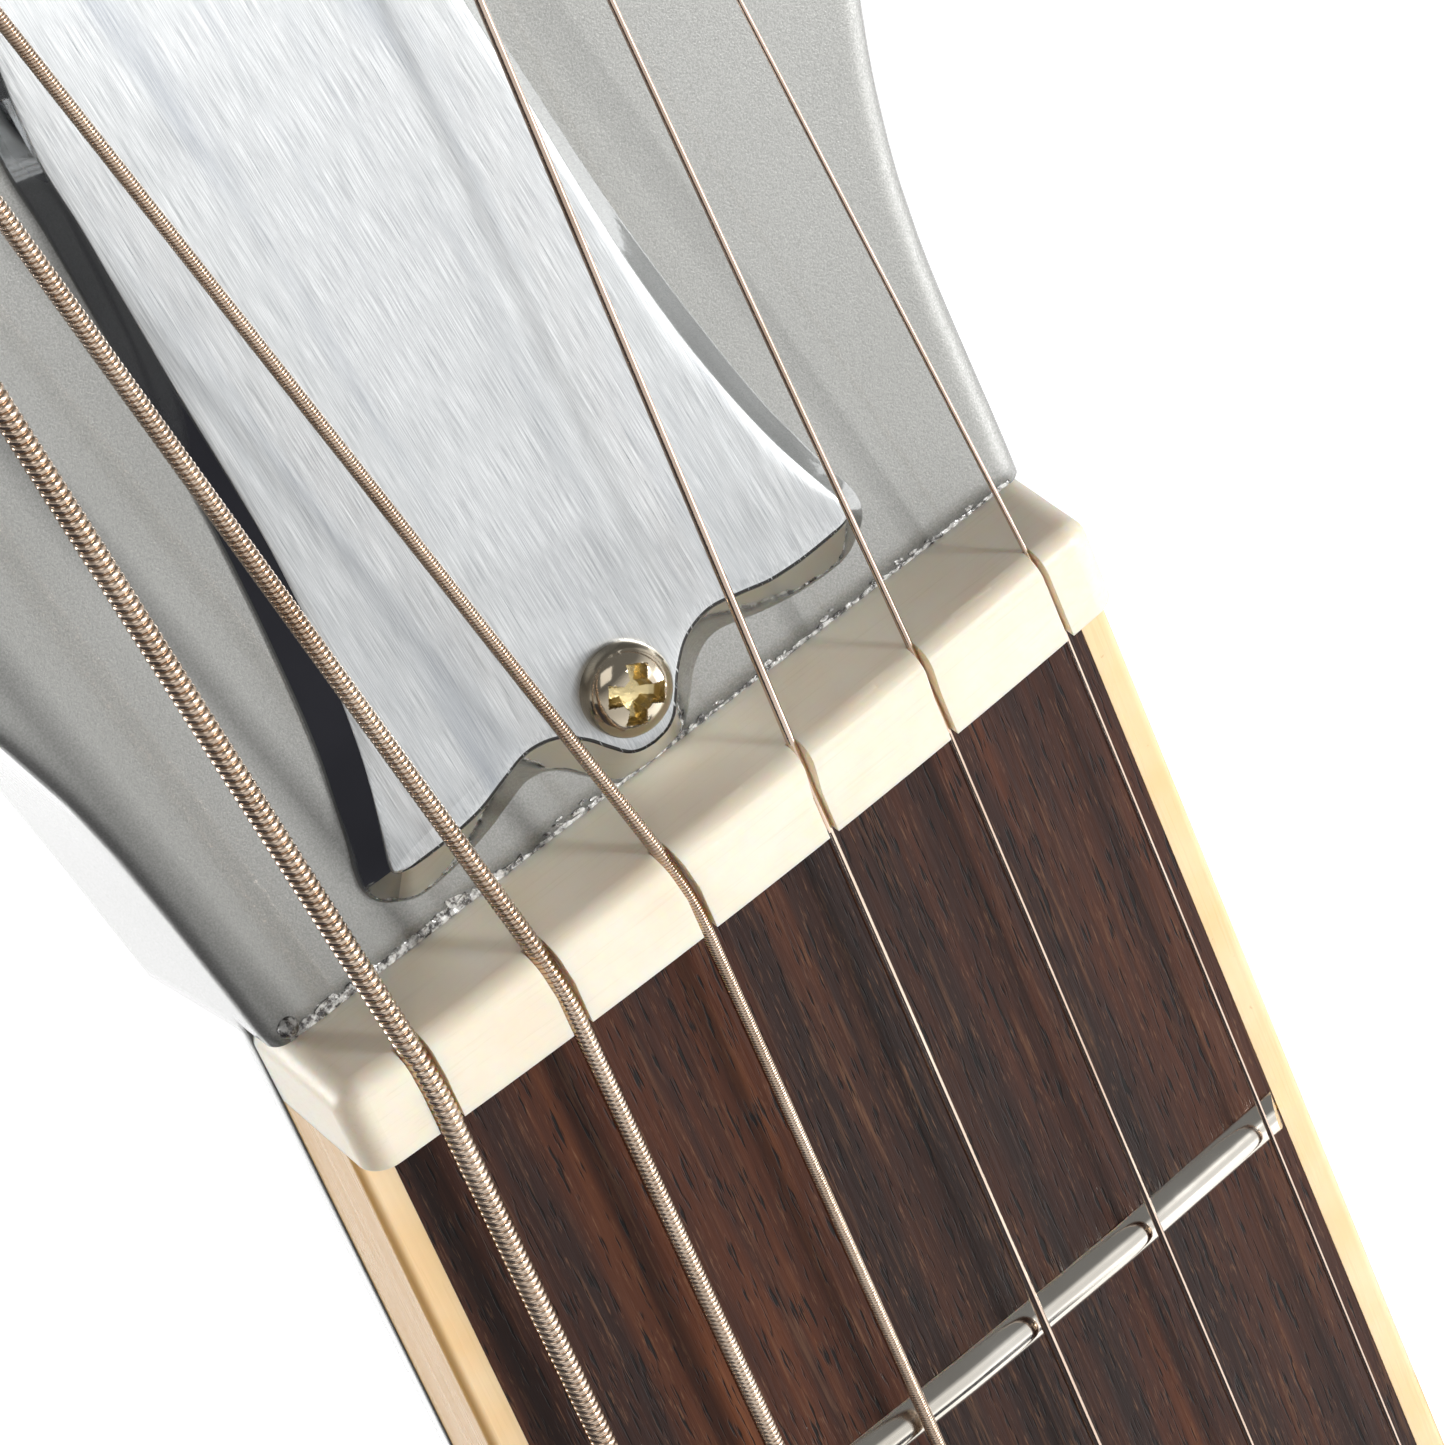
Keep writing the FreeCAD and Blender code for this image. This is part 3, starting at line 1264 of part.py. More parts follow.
save("truss_rod_cover", on_headstock(make_cover()))
cover_screws = [wood_screw(cover_screw_radius, cover_screw_length, cover_screw_head, cover_screw_dome,
                           Vector(x, s, cover_thick)) for x, s in cover_screw_seats()]
save("cover_screws", *[on_headstock(screw) for screw in cover_screws])

rod = bar(rod_radius, Vector(0, rod_tail_y + rod_end_gap, rod_z),
          Vector(0, rod_nut_y[0] + rod_into_nut, rod_z))
save("truss_rod", rod)
corners = [math.radians(60 * k) for k in range(6)]
ring = [Vector(rod_nut_radius * math.cos(a), rod_nut_y[0], rod_z + rod_nut_radius * math.sin(a))
        for a in corners]
rod_nut = Part.Face(Part.makePolygon(ring + ring[:1])).extrude(Vector(0, rod_nut_length, 0))
bore_end = Vector(0, rod_nut_y[0] + rod_into_nut + rod_end_gap, rod_z)
rod_nut = rod_nut.cut(bar(rod_radius + thread_clear, Vector(0, 0, rod_z), bore_end))
save("truss_rod_nut", rod_nut)

for index, name in enumerate(string_names):
    points = string_points(index)
    string, length = tube(points, string_bends(points), string_radii[index])
    expected = math.pi * string_radii[index] ** 2 * length
    print("string", name, "length", round(length, 1), "volume ratio", round(string.Volume / expected, 4),
          "bends", [round(bend, 1) for bend in string_bends(points)])
    save("string_" + name, string)

for index, name in enumerate(string_names):
    post, winds, button, case = make_tuner(index)
    save("tuner_post_" + name, *[on_headstock(piece) for piece in [post] + winds])
    save("tuner_button_" + name, on_headstock(button))
    save("tuner_housing_" + name, on_headstock(case))
save("tuner_bushings", *[on_headstock(make_bushing(index)) for index in range(6)])
tuner_screws = []
for index in range(6):
    for x, s in tuner_screw_places(index):
        face = Vector(x, s, -headstock_thick - tuner_ear_thick)
        screw = wood_screw(tuner_screw_radius, tuner_screw_length, 1.9, 1.0, face, False)
        tuner_screws.append(on_headstock(turn_over(screw, face)))
save("tuner_screws", *tuner_screws)

save("body", make_body())
plate = rounded_box(-plate_half_x, plate_half_x, neck_end, neck_end + plate_length,
                    body_back - plate_thick, body_back, plate_corner)
neck_screws = []
for x, y in neck_screw_places():
    plate = plate.cut(bar(neck_screw_radius + hole_clear, Vector(x, y, body_back - 9),
                          Vector(x, y, body_back + 1)))
    face = Vector(x, y, body_back - plate_thick)
    length = pocket_z - body_back + plate_thick + neck_screw_bite
    neck_screws.append(turn_over(wood_screw(neck_screw_radius, length, neck_screw_head,
                                            neck_screw_head_height, face), face))
save("neck_plate", plate)
save("neck_screws", *neck_screws)

panel_screws = []
for name, y in zip(("neck", "bridge"), pickup_middles()):
    save(name + "_pickup", *make_pickup(y))
    save(name + "_pickup_ring", make_ring(y))
for x, y in ring_screw_places():
    panel_screws.append(wood_screw(panel_screw_radius, panel_screw_length, panel_screw_head,
                                   panel_screw_head_height, Vector(x, y, body_top + ring_height)))
for x, y in cover_plate_screw_places():
    face = Vector(x, y, body_back)
    panel_screws.append(turn_over(wood_screw(panel_screw_radius, panel_screw_length, panel_screw_head,
                                             panel_screw_head_height, face), face))
save("panel_screws", *panel_screws)

base, saddles, saddle_screws, posts = make_bridge()
save("bridge_base", base)
save("bridge_saddles", *saddles)
save("saddle_screws", *saddle_screws)
save("bridge_posts", *posts)
tail, balls, studs = make_tailpiece()
save("tailpiece", tail)
save("string_balls", *balls)
save("tailpiece_studs", *studs)

pots = []
for name, place in zip(("volume", "tone"), control_places):
    pot, shaft = make_pot(place)
    pots.append(pot)
    save(name + "_knob", make_knob(place), shaft)
save("control_pots", *pots)
switch, lever = make_switch()
save("selector_switch", switch)
save("selector_lever", lever)
save("output_jack", *make_jack())
save("strap_buttons", *[piece for seat, up in strap_seats() for piece in make_strap_button(seat, up)])
ledge = cover_plate_ledge
lid = rounded_box(cavity_x[0] - ledge, cavity_x[1] + ledge, bridge_y + cavity_y[0] - ledge,
                  bridge_y + cavity_y[1] + ledge, body_back, body_back + cover_plate_thick,
                  cavity_corner + ledge)
for x, y in cover_plate_screw_places():
    lid = lid.cut(bar(panel_screw_radius + hole_clear, Vector(x, y, body_back - 1),
                      Vector(x, y, body_back + 5)))
save("control_cover", lid)
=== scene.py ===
import json
import math
import random

import bpy
import numpy as np
from mathutils import Matrix, Vector


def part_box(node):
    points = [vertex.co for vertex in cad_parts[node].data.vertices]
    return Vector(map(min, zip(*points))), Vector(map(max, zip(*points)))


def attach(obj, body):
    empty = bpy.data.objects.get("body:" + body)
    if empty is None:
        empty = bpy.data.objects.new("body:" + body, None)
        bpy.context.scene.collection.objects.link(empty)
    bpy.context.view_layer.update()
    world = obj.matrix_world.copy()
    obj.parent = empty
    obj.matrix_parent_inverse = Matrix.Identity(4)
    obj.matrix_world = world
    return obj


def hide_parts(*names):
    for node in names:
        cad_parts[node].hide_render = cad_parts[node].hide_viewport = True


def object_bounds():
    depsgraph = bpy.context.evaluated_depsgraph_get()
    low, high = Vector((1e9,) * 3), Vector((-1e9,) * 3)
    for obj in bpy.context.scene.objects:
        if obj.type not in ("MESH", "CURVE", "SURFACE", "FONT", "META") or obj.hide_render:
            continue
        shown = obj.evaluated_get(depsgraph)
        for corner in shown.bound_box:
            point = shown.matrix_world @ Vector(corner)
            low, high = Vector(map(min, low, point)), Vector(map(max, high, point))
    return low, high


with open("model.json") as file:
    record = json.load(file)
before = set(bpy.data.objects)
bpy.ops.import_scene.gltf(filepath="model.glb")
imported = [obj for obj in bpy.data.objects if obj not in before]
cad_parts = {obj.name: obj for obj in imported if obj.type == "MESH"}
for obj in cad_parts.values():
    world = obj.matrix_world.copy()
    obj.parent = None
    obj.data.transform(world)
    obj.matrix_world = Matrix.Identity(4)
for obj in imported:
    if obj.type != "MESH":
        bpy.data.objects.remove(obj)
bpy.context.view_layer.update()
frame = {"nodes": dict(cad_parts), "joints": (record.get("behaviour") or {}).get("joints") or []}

nodes = frame["nodes"]
joints = {joint["name"]: joint for joint in frame["joints"]}
mm = 0.001


# ---------------------------------------------------------------- neck, headstock and body
# The neck and its headstock are one length of hardwood, and the body is a thick slab of it. Both
# are sprayed with silver metallic lacquer and a clear gloss over it, under which the flakes show as
# a fine grain. The gloss rounds every edge a little.

def colour(code):
    """A colour written as #RRGGBB, in the linear values that a shader takes."""
    parts = [int(code[i:i + 2], 16) / 255 for i in (1, 3, 5)]
    return tuple(c / 12.92 if c <= 0.04045 else ((c + 0.055) / 1.055) ** 2.4 for c in parts) + (1.0,)


def new_finish(name, **settings):
    """A material with its shader's plain settings made."""
    material = bpy.data.materials.new(name)
    material.use_nodes = True
    shader = material.node_tree.nodes["Principled BSDF"]
    for socket, value in settings.items():
        shader.inputs[socket.replace("_", " ")].default_value = value
    return material, material.node_tree, shader


def position(tree, stretch=(1, 1, 1)):
    """The place on the piece, in metres, stretched along the way its grain runs."""
    place = tree.nodes.new("ShaderNodeTexCoord")
    mapping = tree.nodes.new("ShaderNodeMapping")
    mapping.vector_type = "TEXTURE"
    mapping.inputs["Scale"].default_value = stretch
    tree.links.new(place.outputs["Object"], mapping.inputs["Vector"])
    return mapping.outputs["Vector"]


def grain(tree, where, size, detail=2.0, rough=0.55, shift=0.0):
    """Soft noise whose lumps are about size metres across."""
    noise = tree.nodes.new("ShaderNodeTexNoise")
    noise.noise_dimensions = "4D"
    noise.inputs["W"].default_value = shift
    noise.inputs["Scale"].default_value = 1 / size
    noise.inputs["Detail"].default_value = detail
    noise.inputs["Roughness"].default_value = rough
    tree.links.new(where, noise.inputs["Vector"])
    return noise.outputs["Fac"]


def ramp(tree, share, *stops):
    """Colours or grey levels laid along a share from 0 to 1."""
    band = tree.nodes.new("ShaderNodeValToRGB")
    band.color_ramp.elements[0].position = stops[0][0]
    band.color_ramp.elements[1].position = stops[-1][0]
    for place, level in stops[1:-1]:
        band.color_ramp.elements.new(place)
    for element, (place, level) in zip(band.color_ramp.elements, stops):
        element.color = colour(level) if isinstance(level, str) else (level, level, level, 1)
    tree.links.new(share, band.inputs["Fac"])
    return band.outputs["Color"]


def blend(tree, share, low, high, kind="MIX"):
    """One colour laid over another; each is a socket or a written colour."""
    mix = tree.nodes.new("ShaderNodeMix")
    mix.data_type = "RGBA"
    mix.blend_type = kind
    for socket, value in ((mix.inputs["Factor"], share), (mix.inputs["A"], low), (mix.inputs["B"], high)):
        if isinstance(value, bpy.types.NodeSocket):
            tree.links.new(value, socket)
        else:
            socket.default_value = colour(value) if isinstance(value, str) else value
    return mix.outputs["Result"]


def relief(tree, height, depth, under=None, strength=1.0):
    """Bump of a depth in metres, over another bump if there is one."""
    bump = tree.nodes.new("ShaderNodeBump")
    bump.inputs["Distance"].default_value = depth
    bump.inputs["Strength"].default_value = strength
    tree.links.new(height, bump.inputs["Height"])
    if under is not None:
        tree.links.new(under, bump.inputs["Normal"])
    return bump.outputs["Normal"]


def give_finish(names, material):
    """Put a material on CAD nodes, in place of the one they were packed with."""
    for name in names:
        nodes[name].data.materials.clear()
        nodes[name].data.materials.append(material)


lacquer_round = 1.3 * mm


def silver_lacquer():
    material, tree, shader = new_finish("silver_lacquer", Metallic=0.55,
                                        Coat_Weight=1.0, Coat_Roughness=0.06)
    where = position(tree)
    flakes = grain(tree, where, 0.1 * mm, 2.0, 0.7)
    clouds = grain(tree, where, 22 * mm, 2.0)
    tone = ramp(tree, flakes, (0.3, "#7E7E7B"), (0.5, "#8E8E8B"), (0.7, "#9E9E9A"))
    shade = ramp(tree, clouds, (0.3, "#F1F1F0"), (0.7, "#FFFFFF"))
    tree.links.new(blend(tree, 1.0, tone, shade, "MULTIPLY"), shader.inputs["Base Color"])
    tree.links.new(ramp(tree, flakes, (0.3, 0.48), (0.7, 0.34)), shader.inputs["Roughness"])
    rounded = tree.nodes.new("ShaderNodeBevel")
    rounded.samples = 6
    rounded.inputs["Radius"].default_value = lacquer_round
    soft_edge = rounded.outputs["Normal"]
    tree.links.new(relief(tree, flakes, 0.02 * mm, soft_edge, 0.5), shader.inputs["Normal"])
    peel = grain(tree, where, 0.8 * mm, 2.0)
    tree.links.new(relief(tree, peel, 0.02 * mm, soft_edge, 0.5), shader.inputs["Coat Normal"])
    return material


lacquer = silver_lacquer()
give_finish(["neck", "body"], lacquer)


# ---------------------------------------------------------------- fingerboard
# Indian rosewood, planed to a curve across the strings and left with a dry oil finish. Open
# pores run along it as short dark scratches, with paler fibres between them.

def rosewood_board():
    material, tree, shader = new_finish("rosewood", Specular_IOR_Level=0.2)
    fibres = position(tree, (1, 1, 28))
    pores_way = position(tree, (1, 1, 14))
    bands = grain(tree, fibres, 2.6 * mm, 4.0, 0.6)
    fine = grain(tree, fibres, 0.35 * mm, 4.0, 0.65, 3.0)
    wide = grain(tree, position(tree, (1, 1, 12)), 9 * mm, 2.0, 0.5, 7.0)
    wood = ramp(tree, bands, (0.32, "#150704"), (0.46, "#2B1209"), (0.58, "#47220F"), (0.72, "#6A3D22"))
    wood = blend(tree, ramp(tree, wide, (0.45, 0.0), (0.62, 0.55)), wood, "#1B0D09")
    wood = blend(tree, ramp(tree, fine, (0.56, 0.0), (0.72, 0.45)), wood, "#7C5A43")
    flecks = grain(tree, position(tree, (1, 1, 16)), 0.13 * mm, 3.0, 0.7, 5.0)
    wood = blend(tree, ramp(tree, flecks, (0.58, 0.0), (0.7, 0.5)), wood, "#7E5B42")
    pores = ramp(tree, grain(tree, pores_way, 0.2 * mm, 2.0, 0.6, 11.0), (0.57, 0.0), (0.65, 1.0))
    wood = blend(tree, pores, wood, "#0B0403")
    tree.links.new(wood, shader.inputs["Base Color"])
    tree.links.new(ramp(tree, fine, (0.3, 0.38), (0.7, 0.6)), shader.inputs["Roughness"])
    height = blend(tree, pores, fine, (0, 0, 0, 1))
    tree.links.new(relief(tree, height, 0.05 * mm), shader.inputs["Normal"])
    return material


give_finish(["fingerboard"], rosewood_board())


# ---------------------------------------------------------------- binding and position dots
# Cream plastic strips glued to the fingerboard's two long sides, scraped flush and rounded at
# the top. The dots are pearl-like plastic, let into the wood and into the bass side's strip.

def cream_plastic():
    material, tree, shader = new_finish("cream_binding", Subsurface_Weight=0.25, Subsurface_Scale=1.2 * mm,
                                        Coat_Weight=0.08, Coat_Roughness=0.2, Specular_IOR_Level=0.3)
    shader.inputs["Subsurface Radius"].default_value = (1.0, 0.65, 0.35)
    where = position(tree)
    drawn = grain(tree, position(tree, (1, 1, 40)), 0.3 * mm, 3.0)
    clouds = grain(tree, where, 5 * mm, 2.0)
    tone = ramp(tree, clouds, (0.3, "#F4CD98"), (0.7, "#F9DAB0"))
    tone = blend(tree, ramp(tree, drawn, (0.5, 0.0), (0.75, 0.14)), tone, "#D8B47C")
    specks = ramp(tree, grain(tree, where, 0.5 * mm, 2.0, 0.5, 5.0), (0.72, 0.0), (0.78, 0.6))
    tone = blend(tree, specks, tone, "#B58B55")
    # the face that looks to the bass side is painted darker amber: painted shade, as less light falls on
    # that side, with the amber of clear coat piled on its edge
    facing = tree.nodes.new("ShaderNodeTexCoord")
    axes = tree.nodes.new("ShaderNodeSeparateXYZ")
    tree.links.new(facing.outputs["Normal"], axes.inputs["Vector"])
    to_bass = tree.nodes.new("ShaderNodeMath")
    to_bass.operation = "MULTIPLY"
    to_bass.inputs[1].default_value = -1.0
    tree.links.new(axes.outputs["X"], to_bass.inputs[0])
    bass_side_shade_and_amber = ramp(tree, to_bass.outputs["Value"], (0.25, 0.0), (0.8, 1.0))
    tree.links.new(blend(tree, bass_side_shade_and_amber, tone, "#D8AC6C"), shader.inputs["Base Color"])
    tree.links.new(ramp(tree, drawn, (0.3, 0.22), (0.7, 0.38)), shader.inputs["Roughness"])
    tree.links.new(relief(tree, drawn, 0.01 * mm, strength=0.6), shader.inputs["Normal"])
    return material


def pearl():
    material, tree, shader = new_finish("pearl", Coat_Weight=0.8, Coat_Roughness=0.08, Roughness=0.3)
    sheen = grain(tree, position(tree), 1.6 * mm, 3.0, 0.6)
    tone = ramp(tree, sheen, (0.3, "#C9CDC6"), (0.5, "#EDECE4"), (0.7, "#D8D2C4"))
    tree.links.new(tone, shader.inputs["Base Color"])
    return material


give_finish(["board_binding"], cream_plastic())
give_finish(["position_dots"], pearl())


# ---------------------------------------------------------------- frets
# Nickel-silver wire, hammered into slots, levelled and crowned, with its ends filed back at a
# slope. The crowns are polished along the wire and keep faint filing marks across it.

def metal(name, bright, dull, rough, mark_size=0.4 * mm, stretch=(1, 1, 1), marks=0.004 * mm):
    """A bare or plated metal: two tones that drift into each other, smudges in its polish, fine marks."""
    material, tree, shader = new_finish(name, Metallic=1.0)
    drift = grain(tree, position(tree), 9 * mm, 3.0)
    tree.links.new(ramp(tree, drift, (0.3, dull), (0.7, bright)), shader.inputs["Base Color"])
    smudge = grain(tree, position(tree), 3 * mm, 4.0, 0.65, 2.0)
    tree.links.new(ramp(tree, smudge, (0.35, rough * 0.7), (0.7, rough * 1.5)), shader.inputs["Roughness"])
    scratches = grain(tree, position(tree, stretch), mark_size, 3.0, 0.7, 4.0)
    tree.links.new(relief(tree, scratches, marks), shader.inputs["Normal"])
    return material


give_finish(["frets"], metal("fret_wire", "#E6E2DA", "#CFC8BC", 0.13, 0.25 * mm, (40, 1, 1), 0.006 * mm))


# ---------------------------------------------------------------- nut
# A bone-coloured blank, glued against the end of the fingerboard, with one filed slot for each
# string. Its top is buffed; its rear face keeps the lines of the file.

def bone():
    material, tree, shader = new_finish("bone", Subsurface_Weight=0.6, Subsurface_Scale=1.1 * mm,
                                        Coat_Weight=0.15, Coat_Roughness=0.25)
    shader.inputs["Subsurface Radius"].default_value = (1.0, 0.62, 0.3)
    where = position(tree)
    filed = grain(tree, position(tree, (40, 1, 1)), 0.16 * mm, 3.0, 0.6)
    clouds = grain(tree, where, 4 * mm, 2.0)
    tone = ramp(tree, clouds, (0.3, "#F4E6D0"), (0.7, "#F8EEDD"))
    tone = blend(tree, ramp(tree, filed, (0.55, 0.0), (0.75, 0.22)), tone, "#CDBB94")
    tree.links.new(tone, shader.inputs["Base Color"])
    tree.links.new(ramp(tree, filed, (0.3, 0.34), (0.7, 0.5)), shader.inputs["Roughness"])
    tree.links.new(relief(tree, filed, 0.012 * mm, strength=0.7), shader.inputs["Normal"])
    return material


give_finish(["nut"], bone())


# ---------------------------------------------------------------- truss rod and its nut
# A drawn steel rod let into the neck, and the six-sided brass nut that tightens it from the
# pocket behind the string nut. Both are hidden by the cover. The balls that hold the strings in
# the tailpiece are turned from the same brass.

give_finish(["truss_rod"],
            metal("drawn_steel", "#A9A9AB", "#8B8A8A", 0.35, 0.2 * mm, (1, 1, 30), 0.01 * mm))
give_finish(["truss_rod_nut", "string_balls"],
            metal("turned_brass", "#D9B56C", "#B08D4C", 0.25, 0.15 * mm, (6, 6, 1), 0.008 * mm))


# ---------------------------------------------------------------- truss rod cover
# A bell-shaped plate of cast metal, chromed, with a wide polished bevel and a face brushed
# along the neck. It lies on the headstock over the rod's pocket, under two screws.

face_up = Vector(joints["post_turn_low_e"]["axis"])
face_along = Vector((1, 0, 0)).cross(-face_up)
on_face = Vector(joints["post_turn_low_e"]["pos_m"])
nut_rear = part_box("nut")[1].z
on_face += face_along * ((nut_rear - on_face.z) / face_along.z)
on_face.x = 0.0
# a piece made lying on z = 0, with y away from the nut, comes to lie on the headstock's face
headstock = Matrix.Translation(on_face) @ Matrix(
    ((1, 0, 0), face_along, face_up)).transposed().to_4x4()

cover_shift = -0.15
cover_turn = math.radians(0.75)
cover_thick = 1.9
# the edge of the plate, then the edge of its face inside the bevel: half width, distance from the nut
cover_edges = (
    (0.0, 0.1, 0.0, 1.5), (1.6, 0.3, 0.75, 1.62), (2.4, 0.85, 1.35, 1.95), (3.05, 1.6, 1.95, 2.7),
    (3.7, 2.35, 2.65, 3.65), (4.6, 2.95, 3.75, 4.6), (5.5, 3.1, 5.2, 4.95), (6.5, 2.85, 6.75, 4.6),
    (7.6, 2.5, 8.1, 4.22), (8.9, 2.2, 9.3, 4.07), (10.1, 2.0, 10.4, 4.02), (12.1, 1.95, 12.0, 4.07),
    (13.3, 2.5, 12.75, 4.25), (13.95, 3.1, 12.98, 4.4), (14.2, 3.9, 13.05, 4.65), (14.05, 4.9, 12.93, 5.15),
    (13.7, 6.0, 12.6, 6.1), (13.15, 8.2, 11.9, 8.3), (12.7, 10.1, 11.42, 10.1), (12.3, 12.4, 10.95, 12.4),
    (12.0, 14.6, 10.6, 14.6), (11.7, 17.0, 10.3, 17.0), (11.4, 20.0, 10.05, 20.0), (11.2, 22.5, 9.95, 22.5),
    (11.05, 25.0, 9.9, 25.0), (10.9, 28.5, 9.85, 28.5), (10.75, 32.0, 9.75, 32.0), (10.6, 36.5, 9.62, 36.5),
    (10.5, 41.0, 9.5, 41.0), (9.0, 48.5, 8.0, 48.0), (4.7, 56.7, 4.1, 55.6), (0.0, 58.9, 0.0, 57.7))
# each line of the bevel: its share of the way in to the face, and its height
cover_bevel = ((0.0, 0.0), (0.0, 0.13), (0.015, 0.2), (0.05, 0.27), (0.11, 0.36), (0.5, 0.98), (0.84, 1.52),
               (0.91, 1.63), (0.955, 1.7), (0.985, 1.75))
# the face falls away a little towards its edge: distance in from the edge, and height
cover_roll = ((0.0, 1.79), (0.05, 1.82), (0.17, 1.84), (0.35, 1.868), (0.55, 1.888), (0.8, 1.9))
cover_points_between = 7
# the roll-off narrows towards the foot's pointed corners, and the burred edge runs between them
cover_corner_half = 13.3
cover_corner_ease = 1.5
cover_corner_least = 0.15
cover_foot_half = 13.2
cover_foot_reach = 3.2
cover_burred_loops = 2


def smooth_run(knots, steps):
    """Points close together on a smooth curve through the given ones."""
    knots = np.array(knots, float)
    ahead = np.gradient(knots, axis=0)
    run = []
    for k in range(len(knots) - 1):
        for t in np.arange(steps) / steps:
            h00, h10 = 2 * t ** 3 - 3 * t ** 2 + 1, t ** 3 - 2 * t ** 2 + t
            h01, h11 = 3 * t ** 2 - 2 * t ** 3, t ** 3 - t ** 2
            run.append(h00 * knots[k] + h10 * ahead[k] + h01 * knots[k + 1] + h11 * ahead[k + 1])
    return np.array(run + [knots[-1]])


def new_piece(name, points, faces, materials, place=Matrix.Identity(4), smooth=35):
    """A mesh piece that rides on the guitar; edges sharper than smooth degrees stay crisp."""
    mesh = bpy.data.meshes.new(name)
    mesh.from_pydata([tuple(p) for p in points], [], faces)
    mesh.validate()
    for material in materials:
        mesh.materials.append(material)
    mesh.shade_smooth()
    mesh.set_sharp_from_angle(angle=math.radians(smooth))
    piece = bpy.data.objects.new(name, mesh)
    bpy.context.scene.collection.objects.link(piece)
    piece.matrix_world = place
    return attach(piece, "guitar")


def brushed_face(name, dark_teeth):
    """Chrome brushed along the neck; with dark teeth it is the edge where the brush tore it."""
    material, tree, shader = new_finish(name, Metallic=1.0, Anisotropic=0.75)
    across = tree.nodes.new("ShaderNodeCombineXYZ")
    across.inputs["X"].default_value = 1.0
    tree.links.new(across.outputs["Vector"], shader.inputs["Tangent"])
    lines = grain(tree, position(tree, (1, 60, 1)), 0.05 * mm, 4.0, 0.7)
    broad = grain(tree, position(tree, (1, 22, 1)), 1.3 * mm, 3.0, 0.6, 3.0)
    stain = grain(tree, position(tree, (1, 9, 1)), 3.2 * mm, 2.0, 0.5, 8.0)
    tone = ramp(tree, lines, (0.3, "#95989A"), (0.5, "#B2B4B5"), (0.7, "#CCCECE"))
    tone = blend(tree, ramp(tree, broad, (0.5, 0.0), (0.72, 0.5)), tone, "#9B9FA3")
    tone = blend(tree, ramp(tree, stain, (0.58, 0.0), (0.7, 0.4)), tone, "#868C94")
    if dark_teeth:
        teeth = grain(tree, position(tree, (1, 14, 1)), 0.1 * mm, 2.0, 0.6, 5.0)
        tone = blend(tree, ramp(tree, teeth, (0.6, 1.0), (0.68, 0.0)), tone, "#0C0A0A")
        tree.links.new(ramp(tree, teeth, (0.6, 0.0), (0.68, 1.0)), shader.inputs["Metallic"])
    tree.links.new(tone, shader.inputs["Base Color"])
    tree.links.new(ramp(tree, lines, (0.3, 0.26), (0.7, 0.42)), shader.inputs["Roughness"])
    tree.links.new(relief(tree, lines, 0.015 * mm, strength=0.5), shader.inputs["Normal"])
    return material


def cover():
    half = smooth_run(cover_edges, cover_points_between)
    whole = np.concatenate([half, half[-2:0:-1] * (-1, 1, -1, 1)])
    edge, face_edge = whole[:, :2], whole[:, 2:]
    inwards = face_edge - edge
    inwards /= np.linalg.norm(inwards, axis=1)[:, None]
    loops = [(edge + (face_edge - edge) * share, height) for share, height in cover_bevel]
    from_corner = (cover_corner_half - np.abs(face_edge[:, :1])) / cover_corner_ease
    tight = np.clip(from_corner, cover_corner_least, 1.0)
    loops += [(face_edge + inwards * distance * tight, height) for distance, height in cover_roll]
    count = len(whole)
    points = [(x, y, height) for loop, height in loops for x, y in loop]
    foot = (whole[:, 1] < cover_foot_reach) & (np.abs(whole[:, 0]) < cover_foot_half)
    side_kind, foot_kind, face_kind, burred_kind = range(4)
    faces, kinds = [], []
    for k in range(len(loops) - 1):
        for i in range(count):
            j = (i + 1) % count
            faces.append((k * count + i, k * count + j, (k + 1) * count + j, (k + 1) * count + i))
            if k < len(cover_bevel):
                kinds.append(foot_kind if foot[i] else side_kind)
            else:
                burred = foot[i] and k < len(cover_bevel) + cover_burred_loops
                kinds.append(burred_kind if burred else face_kind)
    faces += [[(len(loops) - 1) * count + i for i in range(count)], list(reversed(range(count)))]
    kinds += [face_kind, side_kind]
    # one chrome in two painted copies: the bevel down the sides is darker, a painted dark reflection, and
    # the bevel along the foot is brighter, a painted reflection of the pale nut
    finishes = [metal("side_chrome_painted_dark", "#ACAEAF", "#9A9C9D", 0.04, 0.6 * mm, marks=0.001 * mm),
                metal("foot_chrome_painted_bright", "#DFDFDC", "#CFCFCB", 0.05, 0.6 * mm, marks=0.001 * mm),
                brushed_face("brushed_face", False), brushed_face("burred_edge", True)]
    place = headstock @ Matrix.Translation((cover_shift * mm, 0, 0)) @ Matrix.Rotation(cover_turn, 4, "Z")
    piece = new_piece("rod_cover", np.array(points) * mm, faces, finishes, place, 60)
    piece.data.polygons.foreach_set("material_index", kinds)
    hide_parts("truss_rod_cover")


cover()


# ---------------------------------------------------------------- cover screws
# Two nickel-plated pan-head wood screws with cross recesses. The driver has burnished the edges
# of the recess and worn its plating down to the brass.

# distance from the nut, and the turn that the cross was left at, in degrees
screw_places = ((4.6, -30.8), (53.0, 12.0))
screw_head_radius = 2.15
screw_head_height = 1.5
screw_rim = 0.3
screw_foot_rim = 0.16
screw_fine_reach = 1.5
screw_dome_power = 2.6
recess_reach = 1.36
recess_arm = 0.4
recess_depth = 1.0
recess_wall = 0.2
recess_throat = 0.78
recess_worn_from = 0.45


def recess_share(x, y):
    """How deep into the driver's cross a point lies, from 0 at its rim to 1 on its floor."""
    # all four arms are folded on to one, which widens outwards, with a round throat at the middle
    x, y = np.maximum(np.abs(x), np.abs(y)), np.minimum(np.abs(x), np.abs(y))
    flare = recess_arm * (0.8 + 0.45 * np.clip(x / recess_reach, 0, 1))
    throat = recess_throat - np.hypot(x, y)
    inside = np.maximum(np.minimum(recess_reach - x, flare - y), throat * 0.8)
    return np.clip(inside / recess_wall, 0, 1) ** 0.8


